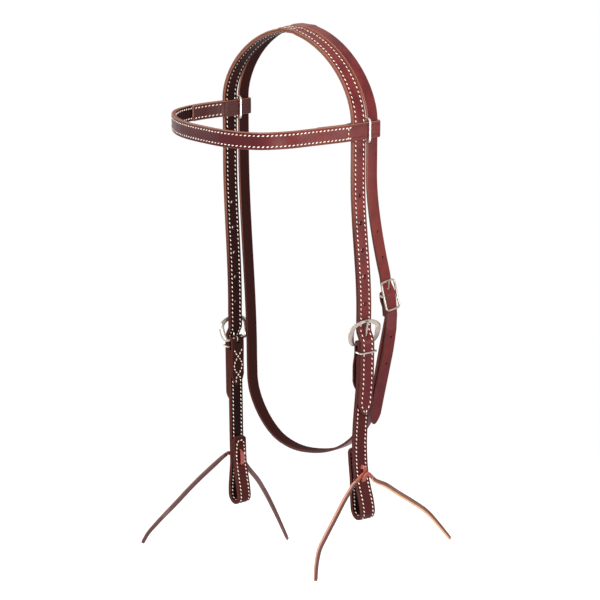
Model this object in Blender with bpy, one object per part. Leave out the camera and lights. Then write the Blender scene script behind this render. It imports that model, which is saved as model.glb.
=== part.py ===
"""Western headstall of stitched leather straps, with wire buckles and rings.

Metres, +Z up. The origin is the underside of the crown strap at the poll.
+X is the horse's near side and the browband is towards -Y.
"""
import math

import bmesh
import bpy
from mathutils import Matrix, Vector

# Leather
STRAP_WIDTH = 0.0159
PLY = 0.0020
EDGE_ROUND = 0.0004
CLEARANCE = 0.0003
STRAP_THICK = 2 * PLY + CLEARANCE
HOLE_RADIUS = 0.0021
HOLE_SPACING = 0.0268
TIP_LENGTH = 0.011
TIP_FLAT = 0.0016
HOLE_SIDES = 12
CUT_OVERRUN = 0.002

# Crown strap
CROWN_HALF_WIDTH = 0.0957
CROWN_SHIFT = 0.0022
CROWN_RISE = 0.0745
CROWN_FLAT = 0.010
NEAR_ROUNDNESS = 1.80
OFF_ROUNDNESS = 1.72
CROWN_SIDE_AFT = -0.0012
STRAIGHT_BELOW = 0.128
STATION_STEP = 0.012

# Cheek pieces, their heel bars measured from the poll
CHEEK_HALF_WIDTH = 0.0979
NEAR_CHEEK_AFT = 0.0076
OFF_CHEEK_AFT = 0.0070
NEAR_HEEL_DROP = 0.2920
OFF_HEEL_DROP = 0.3315
NEAR_LEAN = math.radians(-0.3)
OFF_LEAN = math.radians(0.5)
NEAR_DRIFT = 0.0040
OFF_DRIFT = 0.0015
DRIFT_START = 0.100
NEAR_BOW = 0.0042
OFF_BOW = 0.0
BOW_START = 0.030
SWAY_END = 0.1715
NEAR_YAW = math.radians(4.0)
OFF_YAW = math.radians(0.0)
NEAR_TWIST = math.radians(5.0)
OFF_TWIST = math.radians(-2.0)
TWIST_START = 0.020
TWIST_RUN = 0.140
TURNBACK = 0.050
NEAR_HANG = 0.0036
OFF_HANG = 0.0006
LOOP_BOTTOM = 0.183
LOOP_TOP = 0.107
NEAR_TIE = 0.1325
OFF_TIE = 0.1300
NEAR_LEG_GAP = 0.0030
OFF_LEG_GAP = 0.0003
NEAR_LOOP_GAP = 0.0132
OFF_LOOP_GAP = 0.0112
BILLET_LENGTH = 0.070
LEG_CORNER = 0.0042
FOLD_START_SHARE = 2.6
FOLD_RUN_SHARE = 1.6
HANG_END_SHARE = 0.8

# Cheek buckles
HEEL_WIRE = 0.0030
BAND_BROAD = 0.0064
BAND_TOP = 0.0038
BAND_THICK = 0.0026
BUCKLE_HEIGHT = 0.0262
BUCKLE_WIDTH = 0.0390
SHOULDER_HEIGHT = 0.0135
HEEL_HALF = 0.0108
TONGUE_WIRE = 0.0020
TONGUE_PLAY = 0.0007
TONGUE_SLOT_PLAY = 0.0006
HOOK_START = math.radians(88.0)

# Wire keepers
KEEPER_WIRE = 0.0018
KEEPER_DROP = 0.0075
KEEPER_SIDE_PLAY = 0.0010
KEEPER_CORNER = 0.0020
LINING_BELOW_KEEPER = 0.0035

# Browband and its rings
BROW_NEAR_DROP = 0.0830
BROW_OFF_DROP = 0.0860
BROW_DEPTH = 0.1215
BROW_FRONT_LIFT = 0.0014
BROW_TURNBACK = 0.044
BROW_SEAM = 0.0040
BROW_EASE_SHARE = 2.4
BROW_GAP_SHARE = 1.2
RING_WIRE = 0.0022
RING_HEIGHT = 0.0240
RING_CORNER = 0.0026
RING_SIDE_PLAY = 0.0004

# Throatlatch and its buckle
THROAT_WIDTH = 0.0127
THROAT_THICK = 0.0026
THROAT_DROP = 0.4345
THROAT_RUN_TOP = 0.0800
THROAT_POLL_GAP = 0.0004
THROAT_POLL_RISE = 0.0038
THROAT_LOWER_AFT = 0.0275
THROAT_TUCK = 0.0065
THROAT_HEEL_DROP = 0.2485
THROAT_HEEL_AFT = 0.0392
THROAT_LEAN = math.radians(6.5)
THROAT_BAR_WIRE = 0.0022
THROAT_FRAME_WIDTH = 0.0190
THROAT_FRAME_HEIGHT = 0.0300
THROAT_FRAME_CORNER = 0.0028
THROAT_POST_BEND = 0.0016
THROAT_BAR_SHARE = 0.94
THROAT_TONGUE_WIRE = 0.0017
THROAT_FOLD = 0.022
THROAT_SWEEP = 1.5
THROAT_HOLE_RADIUS = 0.0015
THROAT_HOLE_SPACING = 0.0265
THROAT_TIP_DROP = 0.3775

# Laces
LACE_BROAD = 0.0040
LACE_THICK = 0.0022
LACE_TAIL = 0.0040
LACE_HOLE_PLAY = 0.0004
LACE_HALF_SPAN = 0.0075
LACE_SEGMENT = 0.0090
ROUTE_STEPS = 8
NEAR_FIRST_UPS = (-0.0062, -0.0045, -0.0019, 0.0008, 0.0042)
NEAR_LAST_UPS = (-0.0003, -0.0024, -0.0052)
OFF_FIRST_UPS = (-0.0088, -0.0062, -0.0026, 0.0008, 0.0042)
OFF_LAST_UPS = (0.0022, 0.0034, 0.0030)
SHARP_EDGE = math.radians(34)

# Places that follow from the sizes above
HALF_STRAP = STRAP_WIDTH / 2
HALF_THROAT = THROAT_WIDTH / 2
SIDE_CENTRE = CROWN_HALF_WIDTH + STRAP_THICK / 2
RING_GAP = RING_WIRE + 2 * RING_SIDE_PLAY
RING_AFT = CROWN_SIDE_AFT + HALF_STRAP + RING_GAP / 2
THROAT_SIDE_AFT = RING_AFT + RING_GAP / 2 + HALF_THROAT
THROAT_SIDE_IN = SIDE_CENTRE - THROAT_THICK / 2
THROAT_NEAR_IN = THROAT_SIDE_IN + CROWN_SHIFT
THROAT_POLL_AFT = HALF_STRAP + THROAT_POLL_GAP + HALF_THROAT
LOOP_HALF = STRAP_THICK / 2 + CLEARANCE
WRAP_IN = HEEL_WIRE / 2 + CLEARANCE
WRAP_OUT = WRAP_IN + PLY
LINING_IN = WRAP_IN - CLEARANCE - PLY
BILLET_IN = WRAP_OUT + CLEARANCE
CROWN_UP_IN = -STRAP_THICK / 3
ARC_HEIGHT = BUCKLE_HEIGHT - HEEL_WIRE / 2 - BAND_TOP / 2
ARC_OUT = CROWN_UP_IN + STRAP_THICK + 1.5 * CLEARANCE + BAND_THICK / 2
CHEEK_OUT = CHEEK_HALF_WIDTH - CROWN_UP_IN
FACE_OUT = WRAP_OUT

X_AXIS = Vector((1, 0, 0))
Y_AXIS = Vector((0, 1, 0))
Z_AXIS = Vector((0, 0, 1))


def clear_scene():
    """Remove whatever the file already holds."""
    for old in list(bpy.data.objects):
        bpy.data.objects.remove(old, do_unlink=True)


def material(name, colour, roughness, metallic=0.0):
    """Return a Principled material of one colour."""
    made = bpy.data.materials.new(name)
    made.use_nodes = True
    shader = made.node_tree.nodes["Principled BSDF"]
    shader.inputs["Base Color"].default_value = (*colour, 1.0)
    shader.inputs["Roughness"].default_value = roughness
    shader.inputs["Metallic"].default_value = metallic
    return made


def leather(name):
    """Burgundy harness leather, one material for each strap."""
    return material(name + "_leather", (0.13, 0.028, 0.03), 0.38)


def steel(name):
    """Nickel plated wire, one material for each fitting."""
    return material(name + "_steel", (0.62, 0.61, 0.58), 0.26, 1.0)


def thong(name):
    """Saddle tan lace leather."""
    return material(name + "_lace", (0.42, 0.10, 0.05), 0.55)


def finish(name, body, made):
    """Turn a bmesh into a named object with its faces pointing out."""
    bmesh.ops.recalc_face_normals(body, faces=body.faces)
    mesh = bpy.data.meshes.new(name)
    body.to_mesh(mesh)
    body.free()
    mesh.shade_smooth()
    mesh.set_sharp_from_angle(angle=SHARP_EDGE)
    item = bpy.data.objects.new(name, mesh)
    bpy.context.scene.collection.objects.link(item)
    item.data.materials.append(made)
    return item


def skin(rings, closed):
    """Join rings of points into one closed bmesh body."""
    body = bmesh.new()
    loops = [[body.verts.new(point) for point in ring] for ring in rings]
    count = len(loops)
    for index in range(count if closed else count - 1):
        one, two = loops[index], loops[(index + 1) % count]
        for side in range(len(one)):
            after = (side + 1) % len(one)
            body.faces.new((one[side], one[after], two[after], two[side]))
    if not closed:
        body.faces.new(loops[0])
        body.faces.new(loops[-1])
    return body


def smooth(share):
    """Ease a share of the way from 0 to 1."""
    share = min(max(share, 0.0), 1.0)
    return share * share * (3 - 2 * share)


def mix(first, last, share):
    """A value a share of the way between two."""
    return first + (last - first) * share


def spread(first, last, count):
    """Evenly spaced values, both ends included."""
    return [mix(first, last, index / (count - 1)) for index in range(count)]


def arc(centre, radius, start, end, count):
    """Points of a plane arc."""
    turns = spread(start, end, count)
    return [(centre[0] + radius * math.cos(t), centre[1] + radius * math.sin(t)) for t in turns]


def spline(points, steps):
    """A smooth curve through points of any dimension, with steps per stretch."""
    places = [Vector(point) for point in points]
    gaps = [(b - a).length for a, b in zip(places, places[1:])]
    runs = [(b - a) / gap for a, b, gap in zip(places, places[1:], gaps)]
    slopes = [runs[0]]
    for index in range(1, len(runs)):
        share = gaps[index - 1] / (gaps[index - 1] + gaps[index])
        slopes.append(runs[index - 1].lerp(runs[index], share))
    slopes.append(runs[-1])
    made = []
    for index, gap in enumerate(gaps):
        leave, arrive = slopes[index] * gap, slopes[index + 1] * gap
        for step in range(steps):
            made.append(hermite(places[index], places[index + 1], leave, arrive, step / steps))
    return made + [places[-1]]


def hermite(here, there, leave, arrive, t):
    """A place on the cubic that leaves one place and arrives at the next."""
    back = here - there
    return here + (leave + (-3 * back - 2 * leave - arrive + (2 * back + leave + arrive) * t) * t) * t


def plane_offset(points, distance):
    """Shift a plane line to the side on which it turns clockwise outwards."""
    made = []
    for index, point in enumerate(points):
        before = points[max(index - 1, 0)]
        after = points[min(index + 1, len(points) - 1)]
        run = Vector((after[0] - before[0], after[1] - before[1])).normalized()
        near = Vector((point[0] - before[0], point[1] - before[1]))
        bend = run.dot(near.normalized()) if near.length else 1.0
        side = Vector((-run.y, run.x)) * (distance / max(bend, 0.5))
        made.append((point[0] + side.x, point[1] + side.y))
    return made


class Station:
    """One cross-section of a strap: its place, its width direction and its width."""

    def __init__(self, place, across, half):
        self.place = Vector(place)
        self.across = Vector(across)
        self.half = half


def section(half, thin, thick, edge):
    """The six corners of a strap's section, its grain side eased."""
    return (
        (-half, thin), (half, thin), (half, thick - edge),
        (half - edge, thick), (edge - half, thick), (-half, thick - edge),
    )


def strap(stations, thin, thick):
    """Sweep a strap's section along its stations, mitred at the bends."""
    rings = []
    for index, here in enumerate(stations):
        before = stations[max(index - 1, 0)].place
        after = stations[min(index + 1, len(stations) - 1)].place
        first = (here.place - before).normalized()
        last = (after - here.place).normalized()
        run = (first + last).normalized()
        mitre = 1 / max(run.dot(last if index == 0 else first), 0.6)
        across = (here.across - run * here.across.dot(run)).normalized()
        out = run.cross(across) * mitre
        corners = section(here.half, thin, thick, min(EDGE_ROUND, here.half / 3))
        rings.append([here.place + across * side + out * up for side, up in corners])
    return rings


def pointed(stations, at_end=True):
    """Cut a strap's end to a soft point."""
    half = stations[0].half
    shape = [(0.0, TIP_FLAT / 2), (0.12, half * 0.42), (0.55, half * 0.80), (1.0, half)]
    return shaped(stations, TIP_LENGTH, shape, at_end)


def rounded(stations, corner):
    """Round the corners of a strap's last end."""
    half = stations[-1].half
    turns = spread(0, math.pi / 2, 5)
    shape = [(1 - math.cos(turn), half - corner * (1 - math.sin(turn))) for turn in turns]
    return shaped(stations, corner, shape)


def shaped(stations, length, shape, at_end=True):
    """Give a strap's end half widths at shares of a length from its tip."""
    line = list(stations) if at_end else list(reversed(stations))
    tip = line[-1]
    kept = [s for s in line if (s.place - tip.place).length > length * 1.05]
    run = (kept[-1].place - tip.place).normalized()
    for share, half in reversed(shape):
        kept.append(Station(tip.place + run * (length * share), tip.across, half))
    return kept if at_end else list(reversed(kept))


def tube(points, radius, sides, closed=False, guide=None):
    """Rings of a round wire along a line of points; radius may be one value a point."""
    rings = []
    count = len(points)
    side = guide
    for index, here in enumerate(points):
        before = points[index - 1] if index or closed else here
        after = points[(index + 1) % count] if closed or index + 1 < count else here
        run = (after - before).normalized()
        side = (side - run * side.dot(run)).normalized()
        up = run.cross(side)
        size = radius[index] if isinstance(radius, list) else (radius, radius)
        rings.append([
            here + side * (size[0] * math.cos(turn)) + up * (size[1] * math.sin(turn))
            for turn in [2 * math.pi * k / sides for k in range(sides)]
        ])
    return rings


def cutter(name, rings):
    """A hidden body that a Boolean takes away."""
    body = skin(rings, closed=False)
    bmesh.ops.recalc_face_normals(body, faces=body.faces)
    mesh = bpy.data.meshes.new(name)
    body.to_mesh(mesh)
    body.free()
    item = bpy.data.objects.new(name, mesh)
    bpy.context.scene.collection.objects.link(item)
    item.hide_render = True
    item.display_type = "WIRE"
    return item


def cut(item, tool, operation="DIFFERENCE"):
    """Take one hidden body away from an object."""
    change = item.modifiers.new(tool.name, "BOOLEAN")
    change.operation = operation
    change.solver = "EXACT"
    change.object = tool


def punch(items, name, centre, axis, radius, reach):
    """Punch a round hole through every strap in a list."""
    ends = [centre - axis * reach, centre + axis * reach]
    guide = axis.orthogonal().normalized()
    tool = cutter(name, tube(ends, radius, HOLE_SIDES, guide=guide))
    for item in items:
        cut(item, tool)


class Side:
    """One side's frame: out from the head, aft and up, from the buckle's heel bar."""

    def __init__(self, name, heel, turns, sways, hang, tie, ups, gaps):
        lean, self.yaw, self.twist = turns
        self.name = name
        self.sign = 1 if name == "near" else -1
        self.heel = Vector((self.sign * CHEEK_OUT, *heel))
        self.lean = Matrix.Rotation(lean, 3, "X")
        self.drift, self.bow = sways
        self.hang = hang
        self.tie = tie
        self.first_ups, self.last_ups = ups
        self.leg_gap, self.loop_gap = gaps
        self.loop_middle = LINING_IN - self.leg_gap / 2
        self.loop_back = 2 * self.loop_middle - FACE_OUT

    def turn(self, up):
        """The strap's turn about its own run at a height."""
        return self.yaw + self.twist * smooth((-up - TWIST_START) / TWIST_RUN)

    def axes(self, up):
        """The world directions of out, aft and up at a height."""
        yaw = self.turn(up)
        out = Vector((self.sign * math.cos(yaw), -math.sin(yaw), 0))
        aft = Vector((self.sign * math.sin(yaw), math.cos(yaw), 0))
        return self.lean @ out, self.lean @ aft, self.lean @ Z_AXIS

    def sway(self, up):
        """How far aft the hanging cheek piece strays from its straight run."""
        depth = min(-up, SWAY_END)
        low = max(depth - DRIFT_START, 0.0) / (SWAY_END - DRIFT_START)
        share = max(depth - BOW_START, 0.0) / (SWAY_END - BOW_START)
        rise = 4 * share * (1 - share)
        return self.drift * low * low - self.bow * rise * rise

    def at(self, out, aft, up):
        """The world place of a local one."""
        outward, rearward, upward = self.axes(up)
        return self.heel + outward * out + rearward * aft + upward * up + Y_AXIS * self.sway(up)

    def station(self, out, up, half):
        """A strap station at a local place."""
        return Station(self.at(out, 0, up), self.axes(up)[1], half)

    def put(self, points):
        """World places of a list of local ones."""
        return [self.at(*point) for point in points]


NEAR = Side(
    "near", (NEAR_CHEEK_AFT, -NEAR_HEEL_DROP), (NEAR_LEAN, NEAR_YAW, NEAR_TWIST),
    (NEAR_DRIFT, NEAR_BOW), NEAR_HANG, NEAR_TIE, (NEAR_FIRST_UPS, NEAR_LAST_UPS),
    (NEAR_LEG_GAP, NEAR_LOOP_GAP),
)
OFF = Side(
    "off", (OFF_CHEEK_AFT, -OFF_HEEL_DROP), (OFF_LEAN, OFF_YAW, OFF_TWIST),
    (OFF_DRIFT, OFF_BOW), OFF_HANG, OFF_TIE, (OFF_FIRST_UPS, OFF_LAST_UPS),
    (OFF_LEG_GAP, OFF_LOOP_GAP),
)
SIDES = (NEAR, OFF)


def tongue_line(bar, wire, rest, past, count=9):
    """Local out and up places of a tongue: a hook round its bar, then the shank.

    The shank leaves the hook straight towards its rest on the frame and runs past it.
    """
    radius = bar / 2 + CLEARANCE + wire / 2
    lean = math.acos(radius / math.hypot(*rest)) - math.atan2(rest[1], rest[0])
    hook = arc((0, 0), radius, HOOK_START, 2 * math.pi - lean, count)
    foot = hook[-1]
    run = (math.sin(lean), math.cos(lean))
    reach = (rest[1] - foot[1]) / run[1] + past
    shank = [(foot[0] + run[0] * d, foot[1] + run[1] * d) for d in spread(0, reach, 4)[1:]]
    return hook, shank


def cheek_tongue():
    """The cheek buckle's tongue, resting on the frame's arc."""
    rest = (ARC_OUT + (BAND_THICK + TONGUE_WIRE) / 2 + CLEARANCE, ARC_HEIGHT)
    return tongue_line(HEEL_WIRE, TONGUE_WIRE, rest, BAND_TOP / 4)


def crown_bend(up):
    """How far out the crown's underside lies at a height near a cheek buckle."""
    top = ARC_HEIGHT * 0.58
    foot = HEEL_WIRE / 2
    return mix(CROWN_UP_IN, BILLET_IN, smooth((top - up) / (top - foot)))


def crown_side(side):
    """Stations of one side of the crown, from its point up to the straight run."""
    down = spread(-BILLET_LENGTH, -HEEL_WIRE, 7)
    bend = spread(-HEEL_WIRE / 2, ARC_HEIGHT * 0.66, 9)
    above = [ARC_HEIGHT, ARC_HEIGHT + BUCKLE_WIDTH / 4]
    line = [side.station(crown_bend(up), up, HALF_STRAP) for up in down + bend + above]
    line = pointed(line, at_end=False)
    foot = line[-1]
    top = Vector((side.sign * CROWN_HALF_WIDTH + CROWN_SHIFT, CROWN_SIDE_AFT, -STRAIGHT_BELOW))
    steps = max(int((top - foot.place).length / STATION_STEP), 3)
    for index in range(1, steps + 1):
        share = index / steps
        place = foot.place.lerp(top, share)
        place.y = mix(foot.place.y, top.y, smooth(share))
        line.append(Station(place, foot.across.lerp(Y_AXIS, smooth(share)), HALF_STRAP))
    return line


def arch(half_width, side_aft, poll_aft, half, lift=0.0, count=15):
    """Stations over the poll, from the off side to the near side, lifted at the poll."""
    line = []
    for turn in spread(math.pi, 0, 2 * count):
        cosine, sine = math.cos(turn), math.sin(turn)
        power = 2 / (NEAR_ROUNDNESS if cosine > 0 else OFF_ROUNDNESS)
        x = math.copysign(abs(cosine) ** power, cosine) * half_width
        z = CROWN_RISE * (max(sine, 0.0) ** power - 1)
        if abs(x) < CROWN_FLAT:
            continue
        low = smooth(-z / CROWN_RISE)
        aft = mix(poll_aft, side_aft, low)
        line.append(Station((x + CROWN_SHIFT, aft, z + mix(lift, 0.0, low)), Y_AXIS, half))
    middle = len(line) // 2
    middles = (CROWN_SHIFT - CROWN_FLAT, CROWN_SHIFT + CROWN_FLAT)
    flat = [Station((x, poll_aft, lift), Y_AXIS, half) for x in middles]
    return line[:middle] + flat + line[middle:]


def make_crown():
    """The two plies of the crown strap, punched and bored for the tongues."""
    off_line = crown_side(OFF)
    near_line = list(reversed(crown_side(NEAR)))
    line = off_line + arch(CROWN_HALF_WIDTH, CROWN_SIDE_AFT, 0, HALF_STRAP) + near_line
    lining = finish("crown_lining", skin(strap(line, 0, PLY), False), leather("crown_lining"))
    grain = strap(line, PLY + CLEARANCE, STRAP_THICK)
    outer = finish("crown_outer", skin(grain, False), leather("crown_outer"))
    plies = [lining, outer]
    for side in SIDES:
        reach = STRAP_THICK + CUT_OVERRUN
        for index in range(1, 6):
            up = crown_hole_up() + index * HOLE_SPACING
            place, out = on_strap(crown_side(side), side.heel.z + up, STRAP_THICK / 2)
            punch(plies, f"{side.name}_hole_{index}", place, out, HOLE_RADIUS, reach)
        bore_for_tongue(plies, side)
    return plies


def crown_hole_up():
    """The height of the hole that the tongue is in."""
    return ARC_HEIGHT * 0.58


def on_strap(line, height, depth):
    """Place and outward direction, at a depth in a strap, where it passes a height."""
    for one, two in zip(line, line[1:]):
        low, high = (one, two) if one.place.z <= two.place.z else (two, one)
        if low.place.z <= height <= high.place.z:
            share = (height - low.place.z) / (high.place.z - low.place.z)
            run = (high.place - low.place).normalized()
            across = low.across.lerp(high.across, share)
            out = run.cross(across).normalized()
            out = out if out.x * low.place.x > 0 else -out
            return low.place.lerp(high.place, share) + out * depth, out
    raise ValueError("the height lies off the strap")


def bore_for_tongue(plies, side):
    """Open the crown along the tongue's own line."""
    radius = TONGUE_WIRE / 2 + TONGUE_PLAY
    hook, shank = cheek_tongue()
    ends = side.put([(hook[-1][0], 0, hook[-1][1]), (shank[-1][0], 0, shank[-1][1])])
    tool = cutter(f"{side.name}_tongue_bore", tube(ends, radius, HOLE_SIDES, guide=Y_AXIS))
    for ply in plies:
        cut(ply, tool)


def loop_line(side):
    """The inner face of the bit loop, down its outer leg and up its inner leg."""
    half, wide, middle = side.leg_gap / 2, side.loop_gap / 2, side.loop_middle
    centre = STRAP_THICK + wide - LOOP_BOTTOM
    start = -side.tie
    outer = []
    for up in spread(start, centre, 8)[:-1]:
        outer.append((middle + mix(half, wide, smooth((start - up) / (start - centre))), up))
    bottom = arc((middle, centre), wide, 0, -math.pi, 10)
    inner = [(2 * middle - out, up) for out, up in reversed(outer)]
    return outer, bottom, inner


def cheek_base(side):
    """The lining's inner face from below the keeper to the end of the loop's inner leg."""
    outer, bottom, inner = loop_line(side)
    top = -(KEEPER_DROP + LINING_BELOW_KEEPER)
    down = [(LINING_IN, up) for up in spread(top, -side.tie, 12)[:-1]]
    back = [(side.loop_middle - side.leg_gap / 2, up) for up in spread(-side.tie, -LOOP_TOP, 4)[1:]]
    return down + outer + bottom + inner + back


def heel_wrap(hang):
    """The outer ply's inner face round the heel bar, from its turned-back end."""
    rest = LINING_IN - CLEARANCE
    foot = KEEPER_DROP + KEEPER_WIRE
    turned = []
    for up in spread(-TURNBACK, -foot, 10):
        away = smooth((TURNBACK + up) / (TURNBACK - foot) * FOLD_RUN_SHARE)
        near_bar = smooth((up + foot * FOLD_START_SHARE) / (foot * FOLD_RUN_SHARE))
        close = mix(rest - hang, -WRAP_IN, near_bar)
        turned.append((mix(rest - hang * HANG_END_SHARE, close, away), up))
    wrap = arc((0, 0), WRAP_IN, math.pi, 0, 9)
    return turned + wrap


def cheek_stations(side, points):
    """Stations of a cheek ply through local out and up places."""
    return [side.station(out, up, HALF_STRAP) for out, up in points]


def mirrored(side, line, thin, thick):
    """Sweep a cheek ply; on the off side the frame is left handed, so offsets flip."""
    if side.sign > 0:
        return strap(line, thin, thick)
    flipped = [Station(s.place, -s.across, s.half) for s in line]
    return strap(flipped, thin, thick)


def make_cheek(side):
    """One cheek piece: the outer ply round the heel bar and loop, and its lining."""
    base = cheek_base(side)
    name = f"{side.name}_cheek"
    lining_line = rounded(cheek_stations(side, base), LEG_CORNER)
    lining = finish(
        name + "_lining",
        skin(mirrored(side, lining_line, 0, PLY), False),
        leather(name + "_lining"),
    )
    below = plane_offset(base, PLY + CLEARANCE)
    line = rounded(cheek_stations(side, heel_wrap(side.hang) + below), LEG_CORNER)
    line = pointed(line, at_end=False)
    outer = finish(name + "_outer", skin(mirrored(side, line, 0, PLY), False), leather(name + "_outer"))
    slot_for_tongue(outer, side)
    for index, up in enumerate((LACE_HALF_SPAN - side.tie, -LACE_HALF_SPAN - side.tie)):
        out, aft, _ = side.axes(up)
        place = side.at(side.loop_middle, 0, up)
        radius = LACE_BROAD / 2 + LACE_HOLE_PLAY
        punch([outer, lining], f"{name}_lace_hole_{index}", place, out, radius, STRAP_THICK * 3)
    return outer, lining


def box_rings(side, out, aft, up):
    """Two rings of a block between pairs of local values."""
    corners = ((out[0], aft[0]), (out[1], aft[0]), (out[1], aft[1]), (out[0], aft[1]))
    return [side.put([(o, a, u) for o, a in corners]) for u in up]


def slot_for_tongue(outer, side):
    """Open the heel wrap where the tongue hooks round the bar."""
    half = TONGUE_WIRE / 2 + TONGUE_SLOT_PLAY
    reach = WRAP_OUT + CUT_OVERRUN
    rings = box_rings(side, (-reach, reach), (-half, half), (-WRAP_OUT - 2 * CLEARANCE, reach))
    cut(outer, cutter(f"{side.name}_wrap_slot", rings))


def buckle_outline():
    """Aft and up places of the frame's centreline, the heel bar first, with its sections."""
    wide = BUCKLE_WIDTH / 2 - BAND_BROAD / 2
    wire = (HEEL_WIRE / 2, HEEL_WIRE / 2)
    band = (BAND_BROAD / 2, BAND_THICK / 2)
    line = [((share * HEEL_HALF, 0), wire) for share in (-0.5, 0.0, 0.5)]
    reach = wide - HEEL_HALF
    for turn in spread(0, math.pi / 2, 8)[:-1]:
        place = (HEEL_HALF + reach * math.sin(turn), SHOULDER_HEIGHT * (1 - math.cos(turn)))
        grow = smooth(turn / (math.pi / 3))
        line.append((place, tuple(mix(w, b, grow) for w, b in zip(wire, band))))
    arms = line[3:]
    rise = ARC_HEIGHT - SHOULDER_HEIGHT
    for turn in spread(0, math.pi, 15):
        place = (wide * math.cos(turn), SHOULDER_HEIGHT + rise * math.sin(turn))
        line.append((place, (mix(BAND_BROAD, BAND_TOP, math.sin(turn)) / 2, band[1])))
    for (aft, up), size in reversed(arms):
        line.append(((-aft, up), size))
    return line


def make_buckle(side):
    """One cheek buckle: a horseshoe frame, its tongue and the wire keeper below it."""
    outline = buckle_outline()
    lean = ARC_OUT / ARC_HEIGHT
    points = side.put([(up * lean, aft, up) for (aft, up), _ in outline])
    sizes = [size for _, size in outline]
    name = f"{side.name}_buckle"
    frame_body = skin(band_rings(side, points, sizes, lean), True)
    frame = finish(name + "_frame", frame_body, steel(name + "_frame"))
    tongue = make_tongue(side, name)
    return frame, tongue, make_keeper(side)


def band_rings(side, points, sizes, lean, sides=10):
    """Rings of a band whose broad side stays in the frame's own plane."""
    out, _, up = side.axes(0)
    plane = (out - up * lean).normalized()
    rings = []
    count = len(points)
    for index, here in enumerate(points):
        run = (points[(index + 1) % count] - points[index - 1]).normalized()
        broad = run.cross(plane).normalized()
        rings.append([
            here + broad * (sizes[index][0] * math.cos(t)) + plane * (sizes[index][1] * math.sin(t))
            for t in [2 * math.pi * (k + 0.5) / sides for k in range(sides)]
        ])
    return rings


def make_tongue(side, name):
    """The tongue: hooked round the heel bar, through the strap, on the frame's arc."""
    hook, shank = cheek_tongue()
    line = side.put([(out, 0, up) for out, up in hook + shank])
    rings = tube(line, TONGUE_WIRE / 2, 8, guide=side.axes(0)[1])
    return finish(name + "_tongue", skin(rings, False), steel(name + "_tongue"))


def rounded_box(half_one, half_two, corner, count=4):
    """A closed plane line round a box with rounded corners."""
    line = []
    for index, (one, two) in enumerate(((1, 1), (-1, 1), (-1, -1), (1, -1))):
        centre = (one * (half_one - corner), two * (half_two - corner))
        start = index * math.pi / 2
        line += arc(centre, corner, start, start + math.pi / 2, count)
    return line


def make_keeper(side):
    """The wire keeper round the billet and the cheek's outer leg."""
    inner = WRAP_IN - CLEARANCE - KEEPER_WIRE / 2
    outer = BILLET_IN + STRAP_THICK + CLEARANCE + KEEPER_WIRE / 2
    wide = HALF_STRAP + KEEPER_SIDE_PLAY + KEEPER_WIRE / 2
    middle, deep = (inner + outer) / 2, (outer - inner) / 2
    line = rounded_box(deep, wide, KEEPER_CORNER)
    points = side.put([(middle + o, a, -KEEPER_DROP) for o, a in line])
    name = f"{side.name}_keeper"
    body = skin(tube(points, KEEPER_WIRE / 2, 8, closed=True, guide=side.axes(0)[2]), True)
    return finish(name, body, steel(name))


def brow_plan():
    """Plan places of the browband lining's inner face, near side to off side by the front."""
    width_shares = (1.0, 0.985, 0.955, 0.915, 0.80, 0.56, 0.22, -0.19, -0.57, -0.84, -0.96, -0.998, -1.0)
    depth_shares = (0.17, 0.28, 0.46, 0.68, 0.87, 0.975, 1.0, 0.965, 0.82, 0.63, 0.43, 0.27, 0.17)
    inside = SIDE_CENTRE + LOOP_HALF - CLEARANCE - PLY
    curve = [(w * inside, -d * BROW_DEPTH) for w, d in zip(width_shares, depth_shares)]
    start = CROWN_SIDE_AFT - HALF_STRAP - BROW_SEAM
    near = [(inside, y) for y in spread(start, curve[0][1], 3)[:-1]]
    off = [(-x, y) for x, y in reversed(near)]
    return near + spline(curve, 3) + off


def brow_drop(x):
    """The browband's middle height at a distance from the head's middle."""
    share = (x / SIDE_CENTRE + 1) / 2
    lift = BROW_FRONT_LIFT * (1 - (x / SIDE_CENTRE) ** 2)
    return lift - mix(BROW_OFF_DROP, BROW_NEAR_DROP, share)


def brow_loop(sign, plan):
    """Plan places of one end loop: forward leg, rear fold and the turned-back leg."""
    front = CROWN_SIDE_AFT - HALF_STRAP - BROW_SEAM
    rear = THROAT_SIDE_AFT + HALF_THROAT - LOOP_HALF * 0.6
    outside = [(SIDE_CENTRE + LOOP_HALF, y) for y in spread(front, rear, 6)[:-1]]
    fold = arc((SIDE_CENTRE, rear), LOOP_HALF, 0, math.pi, 9)
    crown_front = CROWN_SIDE_AFT - HALF_STRAP - 2 * CLEARANCE
    inside = [(SIDE_CENTRE - LOOP_HALF, y) for y in spread(rear, crown_front, 5)[1:]]
    line = [(sign * x, y) for x, y in outside + fold + inside]
    return line + turned_back(sign, plan, crown_front)


def turned_back(sign, plan, start):
    """The leg that lies back along the lining's inner face."""
    half = [p for p in plan if p[0] * sign > 0]
    half = half if sign > 0 else list(reversed(half))
    begin = start - (PLY + CLEARANCE) * BROW_EASE_SHARE
    end = start - BROW_TURNBACK
    leg = [p for p in half if begin >= p[1] >= end]
    leg = [(begin_x(half, begin), begin)] + leg
    shifted = [(x - sign * CLEARANCE * BROW_GAP_SHARE, y) for x, y in leg]
    first = (sign * (SIDE_CENTRE - LOOP_HALF), start)
    ease = []
    for share in spread(0, 1, 5)[1:-1]:
        x = mix(first[0], shifted[0][0], smooth(share))
        ease.append((x, mix(first[1], shifted[0][1], share)))
    return ease + shifted


def begin_x(half, y):
    """Where the lining's inner face is at a plan depth."""
    for one, two in zip(half, half[1:]):
        if one[1] >= y >= two[1]:
            return mix(one[0], two[0], (one[1] - y) / (one[1] - two[1]))
    return half[0][0]


def brow_stations(points):
    """Stations of a browband ply through plan places."""
    return [Station((x + CROWN_SHIFT, y, brow_drop(x)), Z_AXIS, HALF_STRAP) for x, y in points]


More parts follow.
